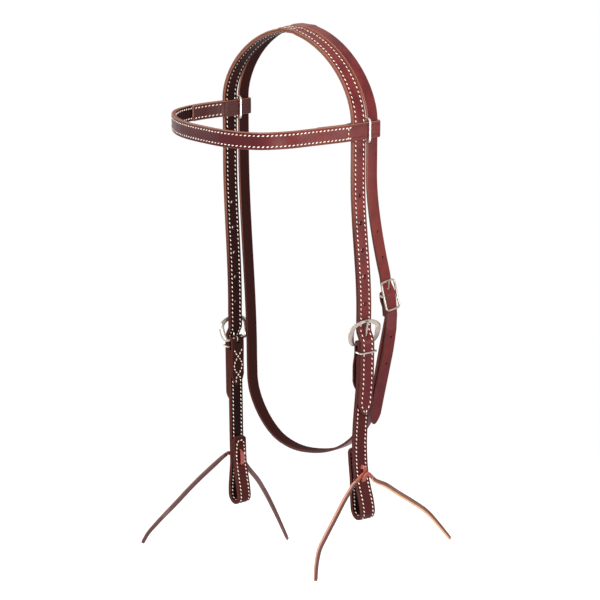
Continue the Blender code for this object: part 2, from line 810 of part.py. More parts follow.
def make_browband():
    """The browband: an outer ply looped round the side straps, and its lining."""
    plan = brow_plan()
    middle = list(reversed(plan))
    lining = finish(
        "browband_lining",
        skin(strap(brow_stations(middle), 0, PLY), False),
        leather("browband_lining"),
    )
    outer = plane_offset(middle, -(PLY + CLEARANCE))
    near_loop = brow_loop(1, plan)
    off_loop = list(reversed(brow_loop(-1, plan)))
    line = brow_stations(off_loop + outer[1:-1] + near_loop)
    grain = finish("browband_outer", skin(strap(line, 0, PLY), False), leather("browband_outer"))
    rings = [make_ring(side) for side in SIDES]
    return grain, lining, rings


def make_ring(side):
    """The wire ring that parts the crown's loop from the throatlatch's."""
    deep = LOOP_HALF + PLY + CLEARANCE + RING_WIRE / 2
    tall = RING_HEIGHT / 2 - RING_WIRE / 2
    middle = side.sign * SIDE_CENTRE
    drop = brow_drop(middle)
    shape = rounded_box(deep, tall, RING_CORNER)
    points = [Vector((middle + CROWN_SHIFT + x, RING_AFT, drop + z)) for x, z in shape]
    name = f"browband_ring_{side.name}"
    body = skin(tube(points, RING_WIRE / 2, 8, closed=True, guide=Y_AXIS), True)
    return finish(name, body, steel(name))


class ThroatFrame:
    """The throat buckle's frame: out from the head, aft and up, from its centre bar."""

    middle = Vector((SIDE_CENTRE + CROWN_SHIFT - THROAT_BAR_WIRE, THROAT_HEEL_AFT, -THROAT_HEEL_DROP))
    turn = Matrix.Rotation(THROAT_LEAN, 3, "X")

    def at(self, out, aft, up):
        """The world place of a local one."""
        return self.middle + self.turn @ Vector((out, aft, up))

    def put(self, points):
        """World places of a list of local ones."""
        return [self.at(*point) for point in points]


THROAT = ThroatFrame()
BAR_WRAP_IN = THROAT_BAR_WIRE / 2 + CLEARANCE
BAR_WRAP_OUT = BAR_WRAP_IN + THROAT_THICK
THROAT_BILLET_IN = BAR_WRAP_OUT + CLEARANCE
THROAT_UP_IN = -THROAT_THICK / 2
FRAME_REACH = THROAT_FRAME_HEIGHT / 2 - THROAT_BAR_WIRE / 2
TOP_BAR_OUT = THROAT_UP_IN + THROAT_THICK + CLEARANCE + THROAT_BAR_WIRE / 2
LOW_BAR_OUT = THROAT_BILLET_IN + THROAT_THICK + CLEARANCE + THROAT_BAR_WIRE / 2


def throat_bend(up):
    """How far out the throat billet's inner face lies at a height by the buckle."""
    top = FRAME_REACH * 0.82
    return mix(THROAT_UP_IN, THROAT_BILLET_IN, smooth((top - up) / top))


def throat_station(out, up, half=HALF_THROAT):
    """A throatlatch station in the buckle's frame."""
    return Station(THROAT.at(out, 0, up), THROAT.turn @ Y_AXIS, half)


def throat_fold():
    """The end that wraps the centre bar, from its turned-back tip to its outer leg."""
    pinch = BAR_WRAP_IN - CLEARANCE
    low, high = THROAT_BAR_WIRE * 2.2, THROAT_BAR_WIRE * 5.5
    short = [(pinch, u) for u in spread(-THROAT_FOLD, -high, 4)[:-1]]
    rise = [(mix(pinch, -BAR_WRAP_IN, smooth(s)), mix(-high, -low, s)) for s in spread(0, 1, 6)]
    wrap = arc((0, 0), BAR_WRAP_IN, math.pi, 0, 9)
    return [throat_station(o, u) for o, u in short + rise + wrap]


def throat_lower():
    """Stations of the run under the throat, from the buckle to the off side."""
    width_shares = (
        1.055, 1.025, 0.955, 0.82, 0.62, 0.35, 0.04, -0.30, -0.60, -0.83, -0.985, -1.0,
    )
    drop_shares = (
        0.67, 0.75, 0.82, 0.875, 0.925, 0.965, 0.99, 1.0, 0.985, 0.94, 0.865, 0.77,
    )
    aft_shares = (1.20, 1.07, 1, 1, 1, 1, 1, 1, 1, 0.97, 0.90, 0.86)
    bottom = THROAT_DROP - THROAT_RUN_TOP
    inside = THROAT_NEAR_IN - THROAT_TUCK
    leg = THROAT.put([(BAR_WRAP_IN, 0, -share * THROAT_FOLD) for share in (0.35, 0.70, 1.05)])
    places = [
        (w * inside, a * THROAT_LOWER_AFT, -THROAT_RUN_TOP - d * bottom)
        for w, d, a in zip(width_shares, drop_shares, aft_shares)
    ]
    line = leg[:2] + spline(leg[2:] + places, 3)
    return [Station(place, Y_AXIS, HALF_THROAT) for place in line]


def throat_off_side(foot):
    """Stations from the lower run's last one up to the off browband loop."""
    top = Vector((CROWN_SHIFT - THROAT_SIDE_IN, THROAT_SIDE_AFT, -STRAIGHT_BELOW))
    line = []
    for share in spread(0, 1, 14)[1:]:
        place = foot.place.lerp(top, share)
        place.x = mix(foot.place.x, top.x, smooth(share))
        place.y = mix(foot.place.y, top.y, smooth(share))
        line.append(Station(place, Y_AXIS, HALF_THROAT))
    return line


def throat_near_side():
    """Stations from the near browband loop down to the buckle's frame."""
    start = Vector((THROAT_NEAR_IN, THROAT_SIDE_AFT, -STRAIGHT_BELOW))
    end = throat_station(THROAT_UP_IN, FRAME_REACH + THROAT_BAR_WIRE * 2)
    line = [Station(start, Y_AXIS, HALF_THROAT)]
    for share in spread(0, 1, 10)[1:]:
        place = start.lerp(end.place, share)
        place.y = mix(start.y, end.place.y, share ** THROAT_SWEEP)
        line.append(Station(place, Y_AXIS.lerp(end.across, smooth(share)), HALF_THROAT))
    return line


def throat_billet():
    """Stations of the billet through the frame and down to its point."""
    ups = spread(FRAME_REACH, -THROAT_BAR_WIRE, 9) + [-FRAME_REACH, -FRAME_REACH - THROAT_BAR_WIRE * 2]
    return [throat_station(throat_bend(up), up) for up in ups]


def throat_tail():
    """Stations of the billet below its buckle, down to the point."""
    out = THROAT_NEAR_IN + THROAT_THICK + 2 * CLEARANCE
    length = THROAT_TIP_DROP - THROAT_HEEL_DROP
    drop_shares = (0.26, 0.42, 0.58, 0.76, 1.0)
    out_shares = (1.030, 1.018, 1.000, 0.985, 0.968)
    aft_shares = (0.975, 0.915, 0.83, 0.715, 0.56)
    return [
        Station((out * o, THROAT_HEEL_AFT * a, -THROAT_HEEL_DROP - length * d), Y_AXIS, HALF_THROAT)
        for o, a, d in zip(out_shares, aft_shares, drop_shares)
    ]


def make_throatlatch():
    """The throatlatch: one long single strap from its buckle fold to its billet point."""
    lower = throat_lower()
    over = arch(THROAT_SIDE_IN, THROAT_SIDE_AFT, THROAT_POLL_AFT, HALF_THROAT, THROAT_POLL_RISE)
    line = throat_fold() + lower + throat_off_side(lower[-1]) + over
    line += throat_near_side() + throat_billet() + throat_tail()
    body = skin(strap(pointed(line), 0, THROAT_THICK), False)
    strap_item = finish("throatlatch_strap", body, leather("throatlatch_strap"))
    slot_for_throat_tongue(strap_item)
    punch_throat(strap_item)
    return strap_item


def punch_throat(item):
    """Punch the throatlatch's spare holes, two above its buckle and two below."""
    above, below = throat_near_side(), throat_billet()[-2:] + throat_tail()
    in_use = FRAME_REACH * 0.85 - THROAT_HEEL_DROP
    reach = THROAT_THICK / 2 + CUT_OVERRUN
    thin_reach = (THROAT_THICK + CLEARANCE) / 2
    holes = ((2, above, reach), (1, above, reach), (-2, below, thin_reach), (-3, below, thin_reach))
    for index, (count, line, depth) in enumerate(holes):
        place, out = on_strap(line, in_use + count * THROAT_HOLE_SPACING, THROAT_THICK / 2)
        punch([item], f"throat_hole_{index}", place, out, THROAT_HOLE_RADIUS, depth)


def throat_tongue():
    """The throat buckle's tongue, resting on the frame's top bar."""
    rest = (TOP_BAR_OUT + (THROAT_BAR_WIRE + THROAT_TONGUE_WIRE) / 2 + CLEARANCE, FRAME_REACH)
    return tongue_line(THROAT_BAR_WIRE, THROAT_TONGUE_WIRE, rest, THROAT_BAR_WIRE / 3)


def slot_for_throat_tongue(item):
    """Open the fold round the centre bar, and the billet along the tongue's line."""
    half = THROAT_TONGUE_WIRE / 2 + TONGUE_SLOT_PLAY
    low, high = -THROAT_BAR_WIRE / 2 - THROAT_TONGUE_WIRE - 3 * CLEARANCE, BAR_WRAP_OUT + CLEARANCE / 2
    outs = (-BAR_WRAP_OUT - CUT_OVERRUN, BAR_WRAP_OUT + CLEARANCE / 2)
    corners = ((outs[0], -half), (outs[1], -half), (outs[1], half), (outs[0], half))
    rings = [THROAT.put([(o, a, u) for o, a in corners]) for u in (low, high)]
    cut(item, cutter("throat_wrap_slot", rings))
    hook, shank = throat_tongue()
    ends = THROAT.put([(hook[-1][0], 0, hook[-1][1]), (shank[-1][0], 0, shank[-1][1])])
    radius = THROAT_TONGUE_WIRE / 2 + TONGUE_PLAY
    cut(item, cutter("throat_tongue_bore", tube(ends, radius, HOLE_SIDES, guide=Y_AXIS)))


def rail_out(up):
    """How far out the throat frame's side rails lie at a height."""
    return mix(LOW_BAR_OUT, TOP_BAR_OUT, (up / FRAME_REACH + 1) / 2)


def centre_bar(wide):
    """Out and aft places of the bar: in from one rail, across the fold and out again."""
    bend = THROAT_POST_BEND
    first = arc((bend, bend - wide), bend, -math.pi / 2, -math.pi, 5)
    last = [(out, -aft) for out, aft in reversed(first)]
    return [(rail_out(0), -wide), *first, *last, (rail_out(0), wide)]


def make_throat_buckle():
    """The throat buckle: a sloping frame, its set-in centre bar and its tongue."""
    wide = THROAT_FRAME_WIDTH / 2 - THROAT_BAR_WIRE / 2
    line = []
    for aft, up in rounded_box(wide, FRAME_REACH, THROAT_FRAME_CORNER):
        line.append((aft, up))
    points = THROAT.put([(rail_out(up), aft, up) for aft, up in line])
    rings = tube(points, THROAT_BAR_WIRE / 2, 8, closed=True, guide=X_AXIS)
    frame = finish("throat_buckle_frame", skin(rings, True), steel("throat_buckle_frame"))
    bar = THROAT.put([(out, aft, 0) for out, aft in centre_bar(wide)])
    radius = THROAT_BAR_WIRE / 2 * THROAT_BAR_SHARE
    cut(frame, cutter("throat_centre_bar", tube(bar, radius, 12, guide=THROAT.turn @ Z_AXIS)), "UNION")
    hook, shank = throat_tongue()
    shape = tube(THROAT.put([(o, 0, u) for o, u in hook + shank]), THROAT_TONGUE_WIRE / 2, 8, guide=Y_AXIS)
    tongue = finish("throat_buckle_tongue", skin(shape, False), steel("throat_buckle_tongue"))
    return frame, tongue


def knot_line(side):
    """Local places of the lace from one tail's start to the other's, through both holes."""
    thick = LACE_THICK
    flat = FACE_OUT + CLEARANCE + thick / 2
    over = flat + thick + 2 * CLEARANCE
    face_in = side.loop_back
    back = face_in - side.loop_gap / 7 - 2 * CLEARANCE - thick / 2
    half, wide = LACE_HALF_SPAN, HALF_STRAP
    first_outs = (0.60, 0.25, 0, 0.06, 0.30)
    first_afts = (-1.18, -0.78, -0.31, 0.25, 0.38)
    first = [
        (flat + out * thick, aft * wide, up)
        for out, aft, up in zip(first_outs, first_afts, side.first_ups)
    ]
    first.append((flat + 0.20 * thick, 0.14 * wide, 0.96 * half))
    through = [FACE_OUT - thick / 4, FACE_OUT - thick * 0.8, face_in + thick * 0.6, face_in]
    bend = mix(face_in, back, 0.70)
    inside = [(out, 0, half) for out in through] + [(bend, 0, 0.87 * half)]
    inside += [(back, 0, share * half) for share in (0.56, 0.20, -0.20, -0.56)]
    inside += [(bend, 0, -0.87 * half)] + [(out, 0, -half) for out in reversed(through)]
    last = [
        (flat + 0.20 * thick, 0, -0.97 * half),
        (mix(flat, over, 0.60), -0.04 * wide, -0.62 * half),
        (over, 0.08 * wide, -0.20 * half),
        (over, 0.36 * wide, 0.08 * half),
    ]
    last += [
        (mix(flat, over, share), aft * wide, up)
        for share, aft, up in zip((0.75, 0.50, 0.30), (0.70, 0.98, 1.26), side.last_ups)
    ]
    return [(o, a * side.sign, u - side.tie) for o, a, u in first + inside + last]


def flat_tube(points, out, half_broad, half_thick, sides=8):
    """Rings of a flat lace, its broad side turned to the strap wherever it lies on it."""
    rings = []
    broad = None
    for index, here in enumerate(points):
        before = points[max(index - 1, 0)]
        after = points[min(index + 1, len(points) - 1)]
        run = (after - before).normalized()
        lying = run.cross(out)
        if broad is None:
            broad = lying
        lying = lying if lying.dot(broad) > 0 else -lying
        broad = broad + lying * lying.length
        broad = (broad - run * broad.dot(run)).normalized()
        up = run.cross(broad)
        rings.append([
            here + broad * (half_broad * math.cos(turn)) + up * (half_thick * math.sin(turn))
            for turn in [2 * math.pi * k / sides for k in range(sides)]
        ])
    return rings


TAIL_ROUTES = {
    "near_front": (
        (0.1075, -0.0145, -0.4355), (0.108, -0.0235, -0.4450), (0.108, -0.035, -0.4605),
        (0.109, -0.047, -0.4745), (0.1095, -0.0560, -0.487), (0.110, -0.0600, -0.501),
        (0.110, -0.0613, -0.5178),
    ),
    "near_rear": (
        (0.1115, 0.0285, -0.4395), (0.116, 0.040, -0.4488), (0.121, 0.055, -0.4602),
        (0.126, 0.071, -0.4735), (0.130, 0.0855, -0.491), (0.135, 0.0964, -0.5067),
    ),
    "off_front": (
        (-0.1110, -0.0155, -0.4700), (-0.115, -0.0365, -0.4852), (-0.118, -0.0625, -0.505),
        (-0.122, -0.0840, -0.5225), (-0.126, -0.0915, -0.532), (-0.130, -0.0962, -0.543),
    ),
    "off_rear": (
        (-0.1020, 0.0255, -0.4810), (-0.097, 0.0330, -0.4930), (-0.092, 0.0400, -0.5085),
        (-0.086, 0.0515, -0.5370), (-0.080, 0.0610, -0.5642),
    ),
}


def make_lace(side):
    """One lace: the tie through the bit loop, and its two free tails."""
    local = side.put(knot_line(side))
    line = spline(local, 3)
    name = f"{side.name}_lace"
    rings = flat_tube(line, side.axes(-side.tie)[0], LACE_BROAD / 2, LACE_THICK / 2)
    body = skin(rings, False)
    tie = finish(name + "_tie", body, thong(name + "_tie"))
    ends = [(line[0], line[1]), (line[-1], line[-2])]
    tails = []
    for part, (end, before) in zip(("front", "rear"), ends[::side.sign]):
        run = (end - before).normalized()
        start = end + run * CLEARANCE
        lead = start + run * LACE_TAIL
        route = [start, lead, *TAIL_ROUTES[f"{side.name}_{part}"]]
        tails.append(make_tail(f"{name}_tail_{part}", start, route))
    return tie, tails


def make_tail(name, start, route):
    """A lace tail hanging free, as a round cord along its route."""
    curve = bpy.data.curves.new(name, "CURVE")
    curve.dimensions = "3D"
    curve.bevel_depth = LACE_TAIL / 2
    curve.bevel_resolution = 2
    curve.use_fill_caps = True
    points = [start] + even(spline(route, ROUTE_STEPS)[ROUTE_STEPS:], LACE_SEGMENT)
    line = curve.splines.new("POLY")
    line.points.add(len(points) - 1)
    for point, place in zip(line.points, points):
        point.co = (*place, 1.0)
    item = bpy.data.objects.new(name, curve)
    bpy.context.scene.collection.objects.link(item)
    curve.materials.append(thong(name))
    return item


def even(points, step):
    """Points a step apart along a finer line, the first and last kept."""
    lengths = [(b - a).length for a, b in zip(points, points[1:])]
    count = max(round(sum(lengths) / step), 2)
    gap = sum(lengths) / count
    made, run, want = [points[0]], 0.0, gap
    for here, after, length in zip(points, points[1:], lengths):
        while want <= run + length and len(made) < count:
            made.append(here.lerp(after, (want - run) / length))
            want += gap
        run += length
    return made + [points[-1]]


def main():
    """Build the headstall."""
    clear_scene()
    make_crown()
    for side in SIDES:
        make_cheek(side)
        make_buckle(side)
        make_lace(side)
    make_browband()
    make_throatlatch()
    make_throat_buckle()


main()
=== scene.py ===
"""Looks of a stitched leather western headstall, laid over its solid model."""

import logging
import math
from dataclasses import dataclass, field, replace
from enum import Enum
from typing import Iterable, Optional, Sequence

import bmesh
import bpy
from bpy.types import Material, Mesh, Node, NodeSocket, NodeTree, Object
from mathutils import Matrix, Vector
from mathutils.bvhtree import BVHTree


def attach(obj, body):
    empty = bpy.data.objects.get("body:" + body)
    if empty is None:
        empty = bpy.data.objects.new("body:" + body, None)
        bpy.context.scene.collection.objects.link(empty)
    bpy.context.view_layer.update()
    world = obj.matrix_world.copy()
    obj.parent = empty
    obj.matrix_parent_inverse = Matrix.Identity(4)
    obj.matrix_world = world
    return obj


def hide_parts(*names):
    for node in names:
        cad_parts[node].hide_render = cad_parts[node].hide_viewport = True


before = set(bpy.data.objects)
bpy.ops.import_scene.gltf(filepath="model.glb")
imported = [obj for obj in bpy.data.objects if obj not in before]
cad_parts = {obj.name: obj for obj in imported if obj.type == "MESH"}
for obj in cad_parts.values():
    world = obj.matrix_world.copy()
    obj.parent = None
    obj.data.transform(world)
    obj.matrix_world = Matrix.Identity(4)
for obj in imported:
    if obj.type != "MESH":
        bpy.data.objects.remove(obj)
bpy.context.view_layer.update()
log = logging.getLogger("headstall")
Triple = tuple[float, float, float]
Sewn = tuple[Vector, Vector, float]
X_AXIS = Vector((1.0, 0.0, 0.0))
Z_AXIS = Vector((0.0, 0.0, 1.0))

# Sizes of the straps and laces, in metres, and the share of a ply that its ends are rounded by.
WIDTH = 0.0159
PLY = 0.0020
THROAT_WIDTH = 0.0127
THROAT_THICK = 0.0026
LACE_THICK = 0.0022
END_TRIM = 0.16

# How a traced line is thinned: longest step, largest bend, and how near an end steps are shorter.
STRAP_THINNING = (0.0024, math.radians(6), 0.014)
LACE_THINNING = (0.0009, math.radians(9), 0.002)

# Where painted light and shade change a finish, in the frame's coordinates.
# Painted shade: below this height the leather is painted darker towards the bottom, standing in for the
# light falling off down the straps.
FALLOFF_SHADE_Z = -0.270
# Painted shade: above this height the off cheek is painted the flesh colour, standing in for the shadow on
# the off side's inner faces.
SHADED_Z = -0.447
# Painted shade: the browband's front, ahead of and inward of these, is painted darker.
FRONT_SHADE_X, FRONT_SHADE_Y = -0.065, -0.100
# Painted shade: the browband's off leg, towards the off side and behind its front, is painted dark.
FAR_SHADE_X, FAR_SHADE_Y = -0.075, -0.085
# Partly painted light: cut edges turn lighter tan above this leaning height, partly the burnished edge and
# partly light from above.
TAN_Z, TAN_LEAN = -0.190, 0.35
# Painted shade: stitches on the off side, behind the browband's front and high up, are painted dim.
THREAD_SHADE_X, THREAD_SHADE_Y, THREAD_SHADE_Z = -0.050, -0.012, -0.070

# Punched holes: the cells that find them, and the punch with its countersunk rim.
CELL = 0.0005
FEWEST_CELLS = 12
SEARCHED_SHARE = 0.33
SEARCHED_FROM_END = 0.004
SEARCHED_FROM_EDGE = 0.001
PUNCH_PAST = 0.00022
PUNCH_EASE = 0.00025
RIM_DEEP = 0.0005
RIM_WIDE = (0.0003, 0.0004)
SHARP = math.radians(40)

# Stitches: half their length, width and height, how they lie, and what they keep clear of.
STITCH = (0.00140, 0.00062, 0.00030)
PITCH = 0.00423
SLANT = math.radians(19)
WANDER = 0.06
SEW_STEP = 0.001
ROW_MARGIN = 0.0028
COVER_LIFT, COVER_REACH = 0.00012, 0.0008
METAL = ("buckle", "keeper", "ring")
METAL_ROOM = 0.0016

# Rows as shares of the half width, and the patterns sewn on the browband and the cheeks.
CROWN_SHARE, CHEEK_SHARE, BROW_SHARE, SEAM_SHARE = 0.62, 0.70, 0.64, 0.60
BROW_SEWN = -0.0140
SEAM_BEHIND = 0.0030
LEG_DEEP = 0.002
TURNED_LEG = 0.0500
ARCH_TOP, ARCH_FOOT = 0.0036, 0.0200
CROSS_START, CROSS_STEPS = 0.0120, 35
CROSS_HALF, CROSS_MARGIN = 0.0052, 0.0020
CROSS_MEETS, CROSS_PERIOD = 0.0184, 0.0200

# Laces: how a tail narrows to its root and tip, and what counts as the bar across the inner leg.
ROOT_LONG, ROOT_LOSS = 0.016, 0.2
TIP_FROM, TIP_LOSS = 0.6, 0.24
TIE_STEP = 0.00025
TIE_FILL, TIE_THICK_FILL = 0.97, 0.94
BAR_DEEP, INNER_DEEP = 0.0015, 0.0012
UPRIGHT = 0.8


class Side(Enum):
    """A side of the horse, with the sign of its X."""

    NEAR = 1
    OFF = -1

    @property
    def word(self) -> str:
        """The side as the solids' names have it."""
        return self.name.lower()


class Expr:
    """A node socket that takes part in shader arithmetic."""

    def __init__(self, tree: NodeTree, socket: NodeSocket) -> None:
        """Keep the tree and the socket."""
        self.tree = tree
        self.socket = socket

    def math(self, operation: str, *values: "Expr | float") -> "Expr":
        """Add a Math node with this socket first.

        Args:
            operation: the Math node's operation.
            values: the other operands.

        Returns:
            The node's result.
        """
        operands = dict(enumerate((self, *values)))
        node = added(self.tree, "ShaderNodeMath", {"operation": operation}, operands)
        return Expr(self.tree, node.outputs[0])

    def __add__(self, other: "Expr | float") -> "Expr":
        """Sum."""
        return self.math("ADD", other)

    def __sub__(self, other: "Expr | float") -> "Expr":
        """Difference."""
        return self.math("SUBTRACT", other)

    def __mul__(self, other: "Expr | float") -> "Expr":
        """Product."""
        return self.math("MULTIPLY", other)

    def __truediv__(self, other: "Expr | float") -> "Expr":
        """Quotient."""
        return self.math("DIVIDE", other)

    def __rsub__(self, other: float) -> "Expr":
        """A number less this."""
        return self.math("MULTIPLY", -1.0).math("ADD", other)

    def absolute(self) -> "Expr":
        """The size of this without its sign."""
        return self.math("ABSOLUTE")

    def above(self, edge: float, soft: float) -> "Expr":
        """A smooth step from 0 to 1 as this passes an edge.

        Args:
            edge: where the step is half way.
            soft: half the step's width.

        Returns:
            The step's value.
        """
        ends = {"Value": self, "From Min": edge - soft, "From Max": edge + soft}
        node = added(self.tree, "ShaderNodeMapRange", {"interpolation_type": "SMOOTHSTEP"}, ends)
        return Expr(self.tree, node.outputs["Result"])

    def below(self, edge: float, soft: float) -> "Expr":
        """A smooth step from 1 to 0 as this passes an edge."""
        return 1.0 - self.above(edge, soft)


def plug(tree: NodeTree, value: object, socket: NodeSocket) -> None:
    """Link an expression or a socket to an input, or set a plain value on it.

    Args:
        tree: the node tree.
        value: what the input takes.
        socket: the input.
    """
    value = value.socket if isinstance(value, Expr) else value
    if isinstance(value, NodeSocket):
        tree.links.new(value, socket)
    else:
        socket.default_value = value


def added(tree: NodeTree, kind: str, settings: Optional[dict] = None, values: Optional[dict] = None) -> Node:
    """Add a node to a tree.

    Args:
        tree: the node tree.
        kind: the node's type.
        settings: attributes to set before its sockets.
        values: what its inputs take, by name or number.

    Returns:
        The node.
    """
    node = tree.nodes.new(kind)
    for key, value in (settings or {}).items():
        setattr(node, key, value)
    for key, value in (values or {}).items():
        plug(tree, value, node.inputs[key])
    return node


class Finish:
    """A procedural material under construction."""

    def __init__(self, name: str) -> None:
        """Start a material with a Principled shader and its object coordinates.

        Args:
            name: the material's name.
        """
        self.material = bpy.data.materials.new(name)
        self.material.use_nodes = True
        self.tree = self.material.node_tree
        self.shader = self.tree.nodes["Principled BSDF"]
        self.place = self.node("ShaderNodeTexCoord", None, "Object")

    def node(
        self, kind: str, settings: Optional[dict] = None, output: int | str = 0, **values: object
    ) -> Expr:
        """Add a node.

        Args:
            kind: the node's type.
            settings: attributes to set before its sockets.
            output: which output to return.
            values: what its inputs take, with underscores for spaces.

        Returns:
            The chosen output.
        """
        named = {key.replace("_", " "): value for key, value in values.items()}
        return Expr(self.tree, added(self.tree, kind, settings, named).outputs[output])

    def mix(self, factor: "Expr | float", one: object, two: object) -> Expr:
        """Mix two colours.

        Args:
            factor: the second colour's share.
            one: the first colour.
            two: the second colour.

        Returns:
            The mixed colour.
        """
        one, two = (value if isinstance(value, Expr) else (*value, 1.0) for value in (one, two))
        node = added(self.tree, "ShaderNodeMix", {"data_type": "RGBA"}, {"Factor": factor, 6: one, 7: two})
        return Expr(self.tree, node.outputs[2])

    def noise(self, place: Expr, scale: float, detail: float = 3.0, rough: float = 0.55) -> Expr:
        """Fractal noise at a place."""
        values = {"Vector": place, "Scale": scale, "Detail": detail, "Roughness": rough}
        return self.node("ShaderNodeTexNoise", None, "Fac", **values)

    def moved(self, **values: Sequence[float]) -> Expr:
        """Object coordinates, shifted or stretched."""
        return self.node("ShaderNodeMapping", None, 0, Vector=self.place, **values)

    def attribute(self, name: str) -> Expr:
        """A number painted on the mesh's points."""
        return self.node("ShaderNodeAttribute", {"attribute_name": name}, "Fac")

    def sideways(self) -> Expr:
        """How far a point lies from the strap's middle, in metres."""
        return self.axes(self.node("ShaderNodeUVMap", {"uv_map": "length"}))[0]

    def axes(self, place: Expr) -> list[Expr]:
        """The three coordinates of a place."""
        node = added(self.tree, "ShaderNodeSeparateXYZ", None, {"Vector": place})
        return [Expr(self.tree, output) for output in node.outputs]

    def bump(self, height: Expr, distance: float, strength: float) -> None:
        """Feed a height to the shader's normal."""
        self.set(Normal=self.node("ShaderNodeBump", Height=height, Distance=distance, Strength=strength))

    def set(self, **values: object) -> None:
        """Set or link the shader's own sockets."""
        for key, value in values.items():
            plug(self.tree, value, self.shader.inputs[key.replace("_", " ")])


@dataclass(frozen=True)
class HarnessLeather:
    """Oiled burgundy harness leather, its edges burnished tan higher up, partly painted light, with painted
    shade in places.
    """

    name: str
    grain: Triple = (0.200, 0.031, 0.026)
    deep: Triple = (0.075, 0.010, 0.014)
    flesh: Triple = (0.022, 0.006, 0.005)
    edge: Triple = (0.090, 0.026, 0.022)
    tan: Triple = (0.270, 0.112, 0.078)
    row: float = 0.0
    groove: float = 0.0012
    seed: float = 0.0
    # Shares of painted shade: high on the off cheek, on the browband's off leg, and at the browband's front.
    shade: float = 0.0
    far: float = 0.0
    middle: float = 0.0
    polish: float = 0.26

    def build(self) -> Material:
        """Make the material.

        Returns:
            Leather with pores, a mottled oil finish, pressed stitch grooves and painted light and shade.
        """
        made = Finish(self.name)
        x, y, z = made.axes(made.place)
        place = made.moved(Location=(self.seed, self.seed * 2, 0))
        mottled = made.noise(place, 55.0, 4.0, 0.6)
        patchy = made.noise(place, 9.0, 2.0)
        pores = made.noise(place, 1500.0, 2.0, 0.6)
        cracks = {"feature": "DISTANCE_TO_EDGE"}
        creases = made.node("ShaderNodeTexVoronoi", cracks, Vector=place, Scale=650.0)
        edge, flesh = made.attribute("edge"), made.attribute("flesh")
        oiled = mottled.above(0.5, 0.22) * 0.55 + patchy.above(0.5, 0.2) * 0.45
        colour = made.mix(oiled, self.grain, self.deep)
        # Painted shade: darker towards the bottom, where the light falls off down the straps.
        colour = made.mix(z.below(FALLOFF_SHADE_Z, 0.090) * 0.70, colour, self.deep)
        # Painted shade: the browband's front is painted darker, standing in for the shade where the light
        # from the right does not reach.
        if self.middle:
            ahead, inward = y.below(FRONT_SHADE_Y, 0.015), x.above(FRONT_SHADE_X, 0.020)
            colour = made.mix(ahead * inward * self.middle, colour, self.deep)
        # Painted shade: the upper off cheek is painted the flesh colour, standing in for the shadow on its
        # inner face.
        if self.shade:
            colour = made.mix(z.above(SHADED_Z, 0.02) * self.shade, colour, self.flesh)
        # Painted shade: the off leg's inner face is painted towards the flesh colour, standing in for its
        # shadow.
        if self.far:
            aside, behind = x.below(FAR_SHADE_X, 0.010), y.above(FAR_SHADE_Y, 0.020)
            colour = made.mix(aside * behind * self.far, colour, self.flesh)
        colour = made.mix(flesh, colour, self.flesh)
        worn = (edge + (mottled - 0.5) * 0.30).above(0.72, 0.20)
        # Partly painted light: the cut edges are painted lighter tan higher up, where more light falls, and
        # darker brown below.
        rim = made.mix((z - x * TAN_LEAN).above(TAN_Z, 0.05), self.edge, self.tan)
        colour = made.mix(worn, colour, rim)
        height = pores * 0.22 + creases.above(0.10, 0.10) * 0.22 + mottled * 0.4
        if self.row:
            valley = ((made.sideways().absolute() - self.row).absolute() / self.groove).below(0.6, 0.4)
            height = height - valley * 1.6
            # Painted shade: the stitch grooves are also painted darker, besides their bump.
            colour = made.mix(valley * 0.55, colour, self.deep)
        made.set(
            Base_Color=colour,
            Roughness=flesh * 0.24 + worn * 0.10 + mottled * 0.14 + 0.40,
            Coat_Weight=(1.0 - flesh) * self.polish,
            Coat_Roughness=0.27,
            Specular_IOR_Level=0.04,
        )
        made.bump(height, 0.00018, 0.55)
        return made.material


@dataclass(frozen=True)
class LaceLeather:
    """Saddle tan latigo lace with a paler cut edge."""

    name: str
    face: Triple
    pale: Triple
    dark: Triple = (0.120, 0.022, 0.016)
    # Whether one side of the thong is painted pale as a highlight and the other dark as shade.
    split: bool = False

    def build(self) -> Material:
        """Make the material.

        Returns:
            Waxed lace leather, mottled along its length.
        """
        made = Finish(self.name)
        streaks = made.noise(made.place, 160.0, 3.0)
        fine = made.noise(made.place, 1400.0, 2.0)
        edge, flesh = made.attribute("edge"), made.attribute("flesh")
        colour = made.mix(streaks.above(0.5, 0.2), self.face, self.dark)
        colour = made.mix(streaks.above(0.45, 0.3) * 0.5, self.face, colour)
        colour = made.mix(flesh * 0.6, colour, self.dark)
        colour = made.mix(edge.above(0.5, 0.35) * 0.60, colour, self.pale)
        # Painted light and shade: one side of the thong is painted pale as a highlight, the other painted
        # dark as shade.
        if self.split:
            side = made.sideways()
            colour = made.mix(side.above(0.0013, 0.0005) * 0.85, colour, self.pale)
            colour = made.mix((side * -1.0).above(0.0006, 0.0008) * 0.85, colour, self.dark)
        made.set(Base_Color=colour, Roughness=streaks * 0.2 + 0.36, Coat_Weight=0.10)
        made.bump(fine * 0.4 + streaks, 0.0002, 0.6)
        return made.material


